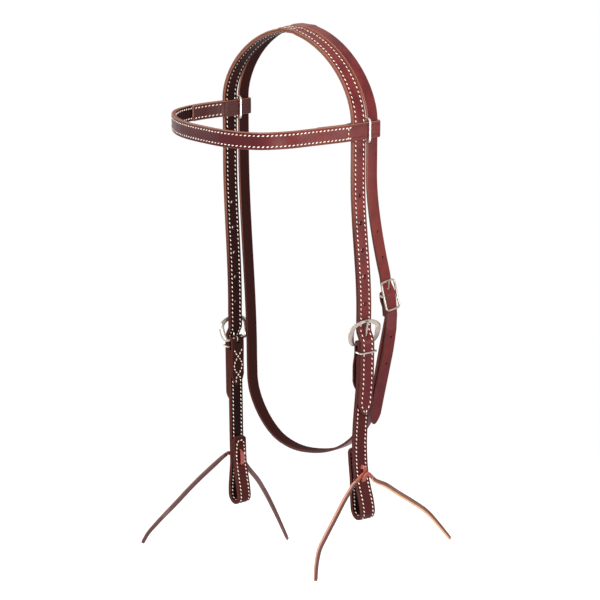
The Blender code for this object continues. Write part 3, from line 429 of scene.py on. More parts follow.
@dataclass(frozen=True)
class WaxedThread:
    """Twisted cream thread."""

    name: str
    light: Triple = (0.980, 0.900, 0.800)
    shade: Triple = (0.600, 0.420, 0.300)
    # Painted shade: the dim thread colour of the off side's upper rows.
    dim: Triple = (0.240, 0.150, 0.110)

    def build(self) -> Material:
        """Make the material.

        Returns:
            Thread with a fine twist, a little grime and painted shade on the off side's upper rows.
        """
        made = Finish(self.name)
        x, y, z = made.axes(made.place)
        grime = made.noise(made.place, 220.0, 2.0)
        twist = made.noise(made.place, 2600.0, 1.0)
        colour = made.mix(grime.above(0.58, 0.14) * 0.7, self.light, self.shade)
        # Painted shade: the off side's upper stitches are painted dim, standing in for the shadow on the
        # inner face.
        arch = x.below(THREAD_SHADE_X, 0.030) * (y.above(THREAD_SHADE_Y, 0.006) * z.above(THREAD_SHADE_Z, 0.030))
        colour = made.mix(arch * 0.62, colour, self.dim)
        made.set(Base_Color=colour, Roughness=twist * 0.1 + 0.5)
        made.bump(twist, 0.00012, 0.6)
        return made.material


@dataclass(frozen=True)
class NickelPlate:
    """Bright nickel plate on steel, softly scratched."""

    name: str
    bright: Triple = (0.780, 0.700, 0.660)
    dull: Triple = (0.640, 0.570, 0.530)

    def build(self) -> Material:
        """Make the material.

        Returns:
            Polished plate with handling marks.
        """
        made = Finish(self.name)
        cloudy = made.noise(made.place, 70.0, 3.0)
        scratches = made.noise(made.moved(Scale=(1.0, 1.0, 7.0)), 900.0, 2.0)
        colour = made.mix(cloudy.above(0.55, 0.2), self.bright, self.dull)
        made.set(Base_Color=colour, Metallic=0.82, Roughness=cloudy * 0.10 + scratches * 0.04 + 0.14)
        made.bump(scratches * 0.2 + cloudy, 0.00002, 0.3)
        return made.material


@dataclass
class Station:
    """A strap's middle at one place, with its directions and half width."""

    place: Vector
    run: Vector
    across: Vector
    out: Vector
    half: float
    length: float = 0.0

    def at(self, across: float, out: float) -> Vector:
        """A place in this cross section."""
        return self.place + self.across * across + self.out * out


@dataclass
class StrapTracer:
    """Follows a strap's solid and finds its middle line and its edges."""

    node: str
    origin: Vector
    way: Vector
    run: Vector
    half: float
    thick: float
    step: float = 0.0005
    tree: BVHTree = field(init=False)
    PROBES = (0.62, 0.80, 0.40)
    FACE_REACH, LAYER_MOST = 1.3, 1.5
    EDGE_REACH, EDGE_DROP = 2.1, 0.12
    END_GAP = 0.3
    PULL = 0.35
    FULL_WIDTH = 0.94
    CHORD = 10
    MOST_STATIONS = 6000

    def __post_init__(self) -> None:
        """Read the solid's faces."""
        self.tree = tree_of([self.node])

    def reach(self, place: Vector, way: Vector, limit: float) -> Optional[float]:
        """How far it is to a wall.

        Args:
            place: where the ray starts.
            way: its direction.
            limit: the furthest wall that counts.

        Returns:
            The distance, or None.
        """
        hit = self.tree.ray_cast(place, way, limit)
        return hit[3] if hit[0] is not None else None

    def layer(self, probe: Vector, out: Vector) -> Optional[tuple[Vector, Vector]]:
        """Where the ply's middle lies under or over a probe.

        Args:
            probe: a place in the ply.
            out: the direction of its outer face.

        Returns:
            The middle and the mean direction of both faces, or None where the ply is cut away.
        """
        up, down = (self.tree.ray_cast(probe, way, self.thick * self.FACE_REACH) for way in (out, -out))
        if up[0] is None or down[0] is None or up[3] + down[3] > self.thick * self.LAYER_MOST:
            return None
        top = up[1] if up[1].dot(out) > 0 else -up[1]
        low = down[1] if down[1].dot(out) > 0 else -down[1]
        return (up[0] + down[0]) / 2, top + low

    def centred(
        self, place: Vector, out: Vector, across: Vector, half: float
    ) -> Optional[tuple[Vector, ...]]:
        """Move a place to the strap's middle.

        Args:
            place: a place near the middle.
            out: the direction of its outer face.
            across: its width direction.
            half: its half width.

        Returns:
            The middle, the width direction and the outer face's, or None where there is no strap.
        """
        for share in self.PROBES:
            layers = [self.layer(place + across * (half * share * sign), out) for sign in (-1, 1)]
            if None not in layers:
                (low, low_out), (high, high_out) = layers
                return (low + high) / 2, (high - low).normalized(), (low_out + high_out).normalized()
        return None

    def edges(self, place: Vector, across: Vector, half: float) -> tuple[Vector, float]:
        """Centre a place between the strap's edges.

        Args:
            place: a place in the strap.
            across: its width direction.
            half: the half width a step before.

        Returns:
            The centred place and the half width, both unchanged beside a hole.
        """
        left, right = (self.reach(place, way, self.half * self.EDGE_REACH) for way in (-across, across))
        if left is None or right is None or (left + right) / 2 < half - self.EDGE_DROP * self.half:
            return place, half
        return place + across * ((right - left) / 2), min((left + right) / 2, self.half)

    def one_way(self, place: Vector, run: Vector, across: Vector) -> list[Station]:
        """Follow the strap to one end.

        Args:
            place: where to start.
            run: the way to go.
            across: the width direction there.

        Returns:
            Stations from the start to the end.
        """
        half, made, missed = self.half, [], 0
        out = run.cross(across).normalized()
        while missed * self.step < self.END_GAP * self.half and len(made) < self.MOST_STATIONS:
            found = self.centred(place, out, across, half)
            if found is None:
                missed += 1
                place = place + run * self.step
                continue
            missed = 0
            middle, across, out = found
            goal, half = self.edges(middle, across, half)
            middle = middle.lerp(goal, self.PULL if made else 1.0)
            steady = len(made) > 3 and half > self.half * self.FULL_WIDTH
            chord = middle - made[-min(len(made), self.CHORD)].place if steady else run
            run = (chord - out * chord.dot(out)).normalized()
            across = out.cross(run)
            made.append(Station(middle, run, across, out, half))
            place = middle + run * self.step
        if not made:
            raise ValueError(f"{self.node}: no strap at {tuple(place)}")
        last = made[-1]
        ahead = self.reach(last.place, last.run, self.half) or 0.0
        if ahead > self.step:
            made.append(Station(last.place + last.run * ahead, last.run, last.across, last.out, last.half))
        return made

    def trace(self) -> list[Station]:
        """Follow the strap from end to end.

        Returns:
            Stations close together, smoothed, with their length along the strap.
        """
        hit, out = self.tree.ray_cast(self.origin, self.way)[:2]
        out = out if out.dot(self.way) < 0 else -out
        start = hit - out * (self.thick / 2)
        across = out.cross(self.run).normalized()
        start = self.edges(start, across, 0.0)[0]
        front = self.one_way(start, self.run, across)
        back = self.one_way(start, -self.run, across)
        return eased([*reversed(back[1:]), *front], 3)


def tree_of(nodes: Iterable[str]) -> BVHTree:
    """The faces of some solids, for casting rays.

    Args:
        nodes: the solids' names.

    Returns:
        One tree of all their faces.
    """
    points, faces = [], []
    for name in nodes:
        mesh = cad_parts[name].data
        first = len(points)
        points += [v.co.copy() for v in mesh.vertices]
        faces += [tuple(first + v for v in p.vertices) for p in mesh.polygons]
    return BVHTree.FromPolygons(points, faces)


def eased(line: list[Station], rounds: int) -> list[Station]:
    """Ease the facets out of a line and set its directions and lengths.

    Args:
        line: the stations.
        rounds: how many times to average.

    Returns:
        The same stations, smoother.
    """
    for _ in range(rounds):
        places = [s.place.copy() for s in line]
        acrosses = [s.across.copy() for s in line]
        for index in range(1, len(line) - 1):
            line[index].place = (places[index - 1] + places[index] * 2 + places[index + 1]) / 4
            line[index].across = acrosses[index - 1] + acrosses[index] + acrosses[index + 1]
    length = 0.0
    for index, station in enumerate(line):
        before = line[max(index - 1, 0)].place
        after = line[min(index + 1, len(line) - 1)].place
        station.run = (after - before).normalized()
        station.across = (station.across - station.run * station.across.dot(station.run)).normalized()
        station.out = station.run.cross(station.across)
        length += (station.place - before).length
        station.length = length
    return line


def thinned(line: list[Station], longest: float, turn: float, tip: float) -> list[Station]:
    """Keep only the stations that the shape needs.

    Args:
        line: stations close together.
        longest: the longest step to leave.
        turn: the largest bend between two that are kept, in radians.
        tip: how near an end steps are a third as long.

    Returns:
        The kept stations, ends included.
    """
    total = line[-1].length
    kept = [line[0]]
    for station in line[1:-1]:
        near = min(station.length, total - station.length) < tip
        step = station.length - kept[-1].length
        bend = station.run.angle(kept[-1].run)
        if step > longest * (0.33 if near else 1.0) or bend > turn:
            kept.append(station)
    if line[-1].length - kept[-1].length < longest * 0.1:
        kept.pop()
    return [*kept, line[-1]]


@dataclass(frozen=True)
class Section:
    """Cross section of a ply: a domed grain face, rounded edges and a flat underside."""

    thick: float
    grain_round: float = 0.00065
    flesh_round: float = 0.00025
    dome: float = 0.00010

    def points(self, half: float, trim: float) -> list[tuple[float, float, float, float]]:
        """The outline for a half width.

        Args:
            half: the strap's half width.
            trim: how much to take off all round, for a rounded end.

        Returns:
            Across, out, edge share and underside share of each point, going round.
        """
        half = max(half - trim, self.grain_round * 0.5)
        top, low = self.thick / 2 - trim, -self.thick / 2 + trim * 0.5
        big = min(self.grain_round, half * 0.6, (top - low) * 0.45)
        small = min(self.flesh_round, half * 0.3)
        inner, under = half - big, half - small
        shoulder = top - self.dome
        made = []
        for share, edge in ((-1, 0.5), (-0.9, 0.12), (-0.5, 0), (0, 0), (0.5, 0), (0.9, 0.12), (1, 0.5)):
            made.append((share * inner, top - self.dome * share * share, edge, 0.0))
        made += [arc_point(inner, shoulder - big, big, turn, 1.0, 0.0) for turn in (60, 30, 0)]
        made += [arc_point(under, low + small, small, turn, 1.0, 0.5) for turn in (0, -45, -90)]
        made += [(share * under, low, 0.1, 1.0) for share in (0.88, 0.45, 0.0, -0.45, -0.88)]
        made += [arc_point(-under, low + small, small, turn, 1.0, 0.5) for turn in (-90, -135, -180)]
        made += [arc_point(-inner, shoulder - big, big, turn, 1.0, 0.0) for turn in (180, 150, 120)]
        return made


def arc_point(across: float, out: float, radius: float, turn: float, edge: float, flesh: float) -> tuple:
    """A section point on a rounded corner, the turn in degrees."""
    angle = math.radians(turn)
    return across + radius * math.cos(angle), out + radius * math.sin(angle), edge, flesh


def linked(name: str, data: object) -> Object:
    """Put an object into the scene.

    Args:
        name: its name.
        data: its mesh, camera or light.

    Returns:
        The object.
    """
    item = bpy.data.objects.new(name, data)
    bpy.context.scene.collection.objects.link(item)
    return item


def skinned(work: bmesh.types.BMesh, rings: list[list[bmesh.types.BMVert]]) -> None:
    """Close rings of points into a skin.

    Args:
        work: the mesh under construction.
        rings: the rings, each with as many points.
    """
    for one, two in zip(rings, rings[1:]):
        for k, after in enumerate([*range(1, len(one)), 0]):
            work.faces.new((one[k], one[after], two[after], two[k]))
    work.faces.new(list(reversed(rings[0])))
    work.faces.new(rings[-1])


def meshed(name: str, work: bmesh.types.BMesh) -> Object:
    """Turn a finished skin into an object.

    Args:
        name: the object's name.
        work: the mesh under construction, freed here.

    Returns:
        The object, its faces turned outward.
    """
    bmesh.ops.recalc_face_normals(work, faces=work.faces)
    mesh = bpy.data.meshes.new(name)
    work.to_mesh(mesh)
    work.free()
    return linked(name, mesh)


def swept(name: str, line: list[Station], section: Section, material: Material) -> Object:
    """Skin a section along a line.

    Args:
        name: the object's name.
        line: the stations.
        section: the cross section.
        material: the finish.

    Returns:
        A closed mesh with a UV map in metres and its edge and flesh shares.
    """
    work = bmesh.new()
    edge_layer = work.verts.layers.float.new("edge")
    flesh_layer = work.verts.layers.float.new("flesh")
    map_layer = work.loops.layers.uv.new("length")
    rings, where = [], {}
    for station in line:
        trim = section.thick * END_TRIM if station is line[0] or station is line[-1] else 0.0
        ring = []
        for across, out, edge, flesh in section.points(station.half, trim):
            vert = work.verts.new(station.at(across, out))
            vert[edge_layer] = 1.0 if trim else edge
            vert[flesh_layer] = flesh
            where[vert] = (across, station.length)
            ring.append(vert)
        rings.append(ring)
    skinned(work, rings)
    for face in work.faces:
        face.smooth = True
        for loop in face.loops:
            loop[map_layer].uv = where[loop.vert]
    item = meshed(name, work)
    item.data.materials.append(material)
    return item


@dataclass
class Hole:
    """A place where a strap is cut through."""

    stations: list[Station]
    across: float
    wide: float

    @property
    def long(self) -> float:
        """Its size along the strap."""
        return self.stations[-1].length - self.stations[0].length

    def rings(self, thick: float) -> list[list[Vector]]:
        """The shape to cut away.

        Args:
            thick: the ply's thickness.

        Returns:
            A punch through the ply, or a channel along a long slot.
        """
        reach = thick / 2 + PUNCH_PAST
        if self.long > 2.0 * self.wide:
            half = self.wide / 2
            corners = ((-half, -reach), (half, -reach), (half, reach), (-half, reach))
            return [[s.at(self.across + a, o) for a, o in corners] for s in self.stations]
        middle = self.stations[len(self.stations) // 2]
        radius = max(self.long, self.wide) / 2 - PUNCH_EASE
        turns = [2 * math.pi * k / 24 for k in range(24)]
        face_radius, past_radius = (radius + wide for wide in RIM_WIDE)
        levels = (
            (-reach, radius), (thick / 2 - RIM_DEEP, radius), (thick / 2, face_radius), (reach, past_radius)
        )
        return [
            [middle.at(self.across + r * math.sin(t), out) + middle.run * (r * math.cos(t)) for t in turns]
            for out, r in levels
        ]


@dataclass
class Strap:
    """One leather ply, rebuilt in detail over its solid."""

    node: str
    body: str
    origin: Triple
    way: Triple
    run: Triple
    finish: HarnessLeather
    width: float = WIDTH
    thick: float = PLY
    line: list[Station] = field(init=False)
    tracer: StrapTracer = field(init=False)

    def __post_init__(self) -> None:
        """Trace the solid."""
        self.tracer = StrapTracer(
            self.node, Vector(self.origin), Vector(self.way), Vector(self.run), self.width / 2, self.thick
        )
        self.line = self.tracer.trace()

    @property
    def length(self) -> float:
        """The ply's length."""
        return self.line[-1].length

    def station(self, length: float) -> Station:
        """Find the station at a length.

        Args:
            length: how far along the strap.

        Returns:
            The first station that is as far.
        """
        low, high = 0, len(self.line) - 1
        while low < high:
            middle = (low + high) // 2
            low, high = (middle + 1, high) if self.line[middle].length < length else (low, middle)
        return self.line[low]

    def surface(self, length: float, across: float) -> tuple[Vector, Vector]:
        """A place on the ply's grain face.

        Args:
            length: how far along.
            across: how far from the middle.

        Returns:
            The place and the face's direction.
        """
        station = self.station(length)
        slip = station.run * (length - station.length)
        return station.at(across, self.thick / 2) + slip, station.out

    def holes(self) -> list[Hole]:
        """Find where the solid is punched or slotted.

        Returns:
            The holes, in order along the strap.
        """
        open_cells = set()
        outermost = int(self.width * SEARCHED_SHARE / CELL)
        for row, station in enumerate(self.line):
            if min(station.length, self.length - station.length) < SEARCHED_FROM_END:
                continue
            for column in range(-outermost, outermost + 1):
                probe = station.at(column * CELL, 0.0)
                inside = abs(column * CELL) < station.half - SEARCHED_FROM_EDGE
                if inside and not self.solid_at(probe, station.out):
                    open_cells.add((row, column))
        made = []
        while open_cells:
            group, queue = [], [open_cells.pop()]
            while queue:
                row, column = queue.pop()
                group.append((row, column))
                near = {(row + i, column + j) for i in (-2, -1, 0, 1, 2) for j in (-1, 0, 1)} & open_cells
                open_cells -= near
                queue += near
            rows = [r for r, _ in group]
            sides = [c for _, c in group]
            if len(group) > FEWEST_CELLS:
                made.append(Hole(
                    self.line[min(rows):max(rows) + 1],
                    (min(sides) + max(sides)) / 2 * CELL,
                    (max(sides) - min(sides) + 1) * CELL,
                ))
        return sorted(made, key=lambda hole: hole.stations[0].length)

    def solid_at(self, probe: Vector, out: Vector) -> bool:
        """Whether the ply is whole at a place."""
        walls = [self.tracer.reach(probe, way, self.thick * 0.62) for way in (out, -out)]
        return None not in walls

    def build(self) -> Object:
        """Make the ply.

        Returns:
            The punched strap, riding its body in place of its solid.
        """
        line = eased(thinned([replace(s) for s in self.line], *STRAP_THINNING), 1)
        item = swept(self.node + "_leather", line, Section(self.thick), self.finish.build())
        holes = self.holes()
        log.info("%s: %.0f mm, %d holes", self.node, self.length * 1000, len(holes))
        if holes:
            pierce(item, [hole.rings(self.thick) for hole in holes])
        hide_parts(self.node)
        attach(item, self.body)
        return item


def pierce(item: Object, shapes: list[list[list[Vector]]]) -> None:
    """Cut shapes out of a mesh.

    Args:
        item: the mesh object.
        shapes: rings of each shape.
    """
    work = bmesh.new()
    flesh_layer = work.verts.layers.float.new("flesh")
    work.verts.layers.float.new("edge")
    for rings in shapes:
        skinned(work, [[work.verts.new(place) for place in ring] for ring in rings])
    for vert in work.verts:
        vert[flesh_layer] = 1.0
    tool = meshed("punches", work)
    modifier = item.modifiers.new("punches", "BOOLEAN")
    modifier.operation = "DIFFERENCE"
    modifier.solver = "EXACT"
    modifier.object = tool
    item.data = settled(item)
    item.modifiers.clear()
    bpy.data.objects.remove(tool)
    item.data.shade_smooth()
    item.data.set_sharp_from_angle(angle=SHARP)


def settled(item: Object) -> Mesh:
    """Carry out an object's modifiers.

    Args:
        item: the object.

    Returns:
        A new plain mesh.
    """
    graph = bpy.context.evaluated_depsgraph_get()
    solved = item.evaluated_get(graph)
    return bpy.data.meshes.new_from_object(solved, preserve_all_data_layers=True, depsgraph=graph)


@dataclass(frozen=True)
class RowPlan:
    """Where a strap's two stitch rows run."""

    share: float
    start: float = 0.004
    end: float = 0.004
    stride: float = 1.0
    front: float = math.inf


@dataclass
class Stitching:
    """All the stitches that ride one body."""

    name: str
    body: str
    plies: BVHTree
    metal: BVHTree
    rows: list[list[Sewn]] = field(default_factory=list)

    def add(self, row: list[tuple[Vector, Vector]], stride: float, front: float = math.inf) -> None:
        """Keep the parts of a row that no ply covers and no metal presses.

        Args:
            row: places on the leather and the directions they face.
            stride: the stitch length as a share of the usual one.
            front: the row is kept only ahead of this Y.
        """
        run = []
        for place, out in row:
            covered = self.plies.ray_cast(place + out * COVER_LIFT, out, COVER_REACH)[0] is not None
            pressed = self.metal.find_nearest(place, METAL_ROOM)[0] is not None
            if not covered and not pressed and place.y < front:
                run.append((place, out, stride))
            else:
                self.keep(run)
                run = []
        self.keep(run)

    def keep(self, run: list[Sewn]) -> None:
        """Keep a row that is long enough for a stitch."""
        if len(run) > 3:
            self.rows.append(run)

    def follow(self, strap: Strap, plan: RowPlan) -> None:
        """Sew both rows along a strap.

        Args:
            strap: the ply.
            plan: where the rows run.
        """
        for sign in (-1, 1):
            row = []
            length = plan.start
            while length < strap.length - plan.end:
                widest = max(strap.station(length).half - ROW_MARGIN, 0.0)
                row.append(strap.surface(length, sign * min(plan.share * strap.width / 2, widest)))
                length += SEW_STEP
            self.add(row, plan.stride, plan.front)

    def draw(self, strap: Strap, path: Sequence[tuple[float, float]], stride: float = 1.0) -> None:
        """Sew a pattern.

        Args:
            strap: the ply.
            path: corners of the pattern, as length and across.
            stride: the stitch length as a share of the usual one.
        """
        row = []
        for (l1, a1), (l2, a2) in zip(path, path[1:]):
            count = max(int(math.dist((l1, a1), (l2, a2)) / SEW_STEP), 1)
            for k in range(count):
                row.append(strap.surface(l1 + (l2 - l1) * (k / count), a1 + (a2 - a1) * (k / count)))
        self.add(row, stride)

    def build(self, tree: NodeTree, thread: Material) -> Object:
        """Make the stitches.

        Args:
            tree: the stitch nodes.
            thread: the thread's finish.

        Returns:
            One plain mesh of stitches, riding the body.
        """
        mesh = bpy.data.meshes.new(self.name)
        edges, first = [], 0
        for row in self.rows:
            edges += [(k, k + 1) for k in range(first, first + len(row) - 1)]
            first += len(row)
        places, outs, strides = zip(*(point for row in self.rows for point in row))
        mesh.from_pydata(places, edges, [])
        facing = mesh.attributes.new("out", "FLOAT_VECTOR", "POINT")
        facing.data.foreach_set("vector", [c for out in outs for c in out])
        mesh.attributes.new("stride", "FLOAT", "POINT").data.foreach_set("value", strides)
        item = linked(self.name, mesh)
        modifier = item.modifiers.new("stitches", "NODES")
        modifier.node_group = tree
        values = {"Pitch": PITCH, "Size": STITCH, "Slant": SLANT, "Thread": thread}
        for socket in tree.interface.items_tree:
            if socket.item_type == "SOCKET" and socket.name in values:
                modifier[socket.identifier] = values[socket.name]
        item.data = settled(item)
        item.modifiers.clear()
        log.info("%s: %d faces", self.name, len(item.data.polygons))
        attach(item, self.body)
        return item


class StitchNodes:
    """Geometry nodes that lay slanted stitches along rows."""

    INPUTS = {"Rows": "Geometry", "Pitch": "Float", "Size": "Vector", "Slant": "Float", "Thread": "Material"}

    def __init__(self) -> None:
        """Start the tree and its inputs."""
        self.tree = bpy.data.node_groups.new("saddle_stitches", "GeometryNodeTree")
        for name, kind in self.INPUTS.items():
            self.tree.interface.new_socket(name, in_out="INPUT", socket_type="NodeSocket" + kind)
        self.tree.interface.new_socket("Stitches", in_out="OUTPUT", socket_type="NodeSocketGeometry")

    def add(self, kind: str, values: Optional[dict] = None, output: int = 0, **settings: str) -> NodeSocket:
        """Add a node.

        Args:
            kind: its type.
            values: what its inputs take, by name or number.
            output: which output to return.
            settings: attributes to set before its sockets.

        Returns:
            The chosen output.
        """
        return added(self.tree, kind, settings, values).outputs[output]

    def build(self) -> NodeTree:
        """Wire the nodes.

        Returns:
            The finished tree.
        """
        inputs = added(self.tree, "NodeGroupInput").outputs
        line = self.add("GeometryNodeMeshToCurve", {"Mesh": inputs["Rows"]})
        stride = self.add("GeometryNodeInputNamedAttribute", {"Name": "stride"}, data_type="FLOAT")
        step = self.add("ShaderNodeMath", {0: inputs["Pitch"], 1: stride}, operation="MULTIPLY")
        even = self.add("GeometryNodeResampleCurve", {"Curve": line, "Length": step}, mode="LENGTH")
        tangent = self.add("GeometryNodeInputTangent")
        facing = self.add("GeometryNodeInputNamedAttribute", {"Name": "out"}, data_type="FLOAT_VECTOR")
        along = self.add("FunctionNodeAlignRotationToVector", {"Vector": tangent}, axis="X")
        turns = {"Rotation": along, "Vector": facing}
        upright = self.add("FunctionNodeAlignRotationToVector", turns, axis="Z", pivot_axis="X")
        bounds = {2: -WANDER, 3: WANDER, "Seed": 7}
        wander = self.add("FunctionNodeRandomValue", bounds, 1, data_type="FLOAT")
        slant = self.add("ShaderNodeMath", {0: inputs["Slant"], 1: wander}, operation="ADD")
        turn = self.add("ShaderNodeCombineXYZ", {"Z": slant})
        turned = self.add("FunctionNodeRotateRotation", {0: upright, 1: turn}, rotation_space="LOCAL")
        seed = self.add("GeometryNodeMeshUVSphere", {"Segments": 8, "Rings": 5, "Radius": 1.0})
        placing = {"Points": even, "Instance": seed, "Rotation": turned, "Scale": inputs["Size"]}
        laid = self.add("GeometryNodeInstanceOnPoints", placing)
        real = self.add("GeometryNodeRealizeInstances", {0: laid})
        soft = self.add("GeometryNodeSetShadeSmooth", {0: real})
        sewn = self.add("GeometryNodeSetMaterial", {"Geometry": soft, "Material": inputs["Thread"]})
        added(self.tree, "NodeGroupOutput", None, {0: sewn})
        return self.tree


@dataclass(frozen=True)
class LaceTail:
    """A flat thong's free end, hanging along its route."""

    node: str
    route: tuple[Triple, ...]
    finish: LaceLeather
    twist: float
    broad: float = 0.0050

    def build(self) -> Object:
        """Make the tail.

        Returns:
            A flat tapered thong.
        """
        path = curved([Vector(p) for p in self.route], 8)
        line = []
        across = None
        for index, place in enumerate(path):
            before, after = path[max(index - 1, 0)], path[min(index + 1, len(path) - 1)]
            run = (after - before).normalized()
            across = across or run.cross(X_AXIS)
            across = (across - run * across.dot(run)).normalized()
            line.append(Station(place, run, across, run.cross(across), self.broad / 2))
        line = eased(line, 1)
        for station in line:
            share = station.length / line[-1].length
            turn = self.twist * share
            across = station.across * math.cos(turn) + station.out * math.sin(turn)
            station.across, station.out = across, station.run.cross(across)
            root = max(1.0 - station.length / ROOT_LONG, 0.0)
            tip = max(share - TIP_FROM, 0.0) / (1.0 - TIP_FROM)
            station.half = self.broad / 2 * (1.0 - TIP_LOSS * tip - ROOT_LOSS * root)
        item = swept(self.node + "_thong", line, Section(LACE_THICK, 0.0005, 0.0005), self.finish.build())
        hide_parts(self.node)
        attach(item, "headstall")
        line[-1].length
        return item


def curved(points: list[Vector], steps: int) -> list[Vector]:
    """A smooth line through points.

    Args:
        points: the places it passes.
        steps: how many steps from one to the next.

    Returns:
        The points of a curve whose slopes allow for uneven spacing.
    """
    spans = [(b - a).length for a, b in zip(points, points[1:])]
    slopes = [(b - a) / span for a, b, span in zip(points, points[1:], spans)]
    leaves = [slopes[0]]
    for one, two, before, after in zip(slopes, slopes[1:], spans, spans[1:]):
        leaves.append((one * after + two * before) / (before + after))
    leaves.append(slopes[-1])
    made = []
    for k, span in enumerate(spans):
        for step in range(steps):
            t = step / steps
            made.append(
                points[k] * (2 * t**3 - 3 * t**2 + 1) + leaves[k] * span * (t**3 - 2 * t**2 + t)
                + points[k + 1] * (3 * t**2 - 2 * t**3) + leaves[k + 1] * span * (t**3 - t**2)
            )
    return [*made, points[-1]]


@dataclass(frozen=True)
class LaceTie:
    """The lace's tied middle, traced along its solid and laid as a flat thong."""

    side: Side
    height: float
    finish: LaceLeather
    broad: float = 0.0040
    bar: float = 1.5

    def bar_middle(self, node: str) -> Vector:
        """A place facing the middle of the lace's run across the inner leg.

        Args:
            node: the tie's solid.

        Returns:
            The place, between the cheeks.
        """
        tree = tree_of([node])
        found = []
        for k in range(-60, 121):
            place = Vector((0.0, k * TIE_STEP, self.height))
            hit = tree.ray_cast(place, X_AXIS * self.side.value)
            if hit[0] is not None:
                found.append((abs(hit[0].x), place))
        first = min(reach for reach, _ in found)
        level = [place for reach, place in found if reach < first + BAR_DEEP]
        return (level[0] + level[-1]) / 2

    def build(self) -> Object:
        """Make the tie.

        Returns:
            A flat lace through the loop's holes with its half knot.
        """
        node = f"{self.side.word}_lace_tie"
        start, way = self.bar_middle(node), X_AXIS * self.side.value
        tracer = StrapTracer(node, start, way, Z_AXIS, self.broad / 2, LACE_THICK, TIE_STEP)
        line = eased(thinned(tracer.trace(), *LACE_THINNING), 1)
        for station in line:
            inner = abs(station.place.x) < abs(line[len(line) // 2].place.x) + INNER_DEEP
            station.half = self.broad / 2 * TIE_FILL
            if inner and abs(station.run.z) > UPRIGHT:
                station.half = self.broad / 2 * self.bar
        log.info("%s: %.0f mm", node, line[-1].length * 1000)
        section = Section(LACE_THICK * TIE_THICK_FILL, 0.0006, 0.0005)
        item = swept(node + "_thong", line, section, self.finish.build())
        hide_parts(node)
        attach(item, "headstall")
        return item


@dataclass(frozen=True)
class Camera:
    """The camera that took the picture."""

    azimuth: float = math.radians(50)
    elevation: float = math.radians(15)
    distance: float = 2.0
    lens: float = 120.0
    height: float = -0.268
    shift: float = 0.0087

    def build(self) -> Object:
        """Make it the scene's camera.

        Returns:
            The camera object.
        """
        right = Vector((math.cos(self.azimuth), math.sin(self.azimuth), 0))
        flat = math.cos(self.elevation)
        back = Vector((
            math.sin(self.azimuth) * flat, -math.cos(self.azimuth) * flat, math.sin(self.elevation)
        ))
        target = Z_AXIS * self.height + right * self.shift
        data = bpy.data.cameras.new("camera")
        data.sensor_width = 36.0
        data.lens = self.lens
        data.clip_end = 50.0
        item = linked("camera", data)
        turn = Matrix((right, back.cross(right), back)).transposed().to_4x4()
        item.matrix_world = Matrix.Translation(target + back * self.distance) @ turn
        bpy.context.scene.camera = item
        return item


@dataclass(frozen=True)
class SoftBox:
    """One studio light."""

    name: str
    place: Triple
    size: float
    power: float
    colour: Triple = (1.0, 0.93, 0.88)

    def build(self, target: Vector) -> Object:
        """Make the light.

        Args:
            target: where it is aimed.

        Returns:
            The light object.
        """
        data = bpy.data.lights.new(self.name, "AREA")
        data.shape = "DISK"
        data.size = self.size
        data.energy = self.power
        data.color = self.colour
        item = linked(self.name, data)
        item.location = self.place
        item.rotation_euler = (target - Vector(self.place)).to_track_quat("-Z", "Y").to_euler()
        return item


def backdrop_rays(tree: NodeTree) -> Expr:
    """Find the rays that show the backdrop: seen directly, mirrored or passed through.

    Args:
        tree: the floor's or the world's node tree.

    Returns:
        One for those rays, and zero for the light that falls on the object.
    """
    path = tree.nodes.new("ShaderNodeLightPath")
    seen = Expr(tree, path.outputs["Is Camera Ray"]) + Expr(tree, path.outputs["Is Glossy Ray"])
    return seen + Expr(tree, path.outputs["Is Transmission Ray"])


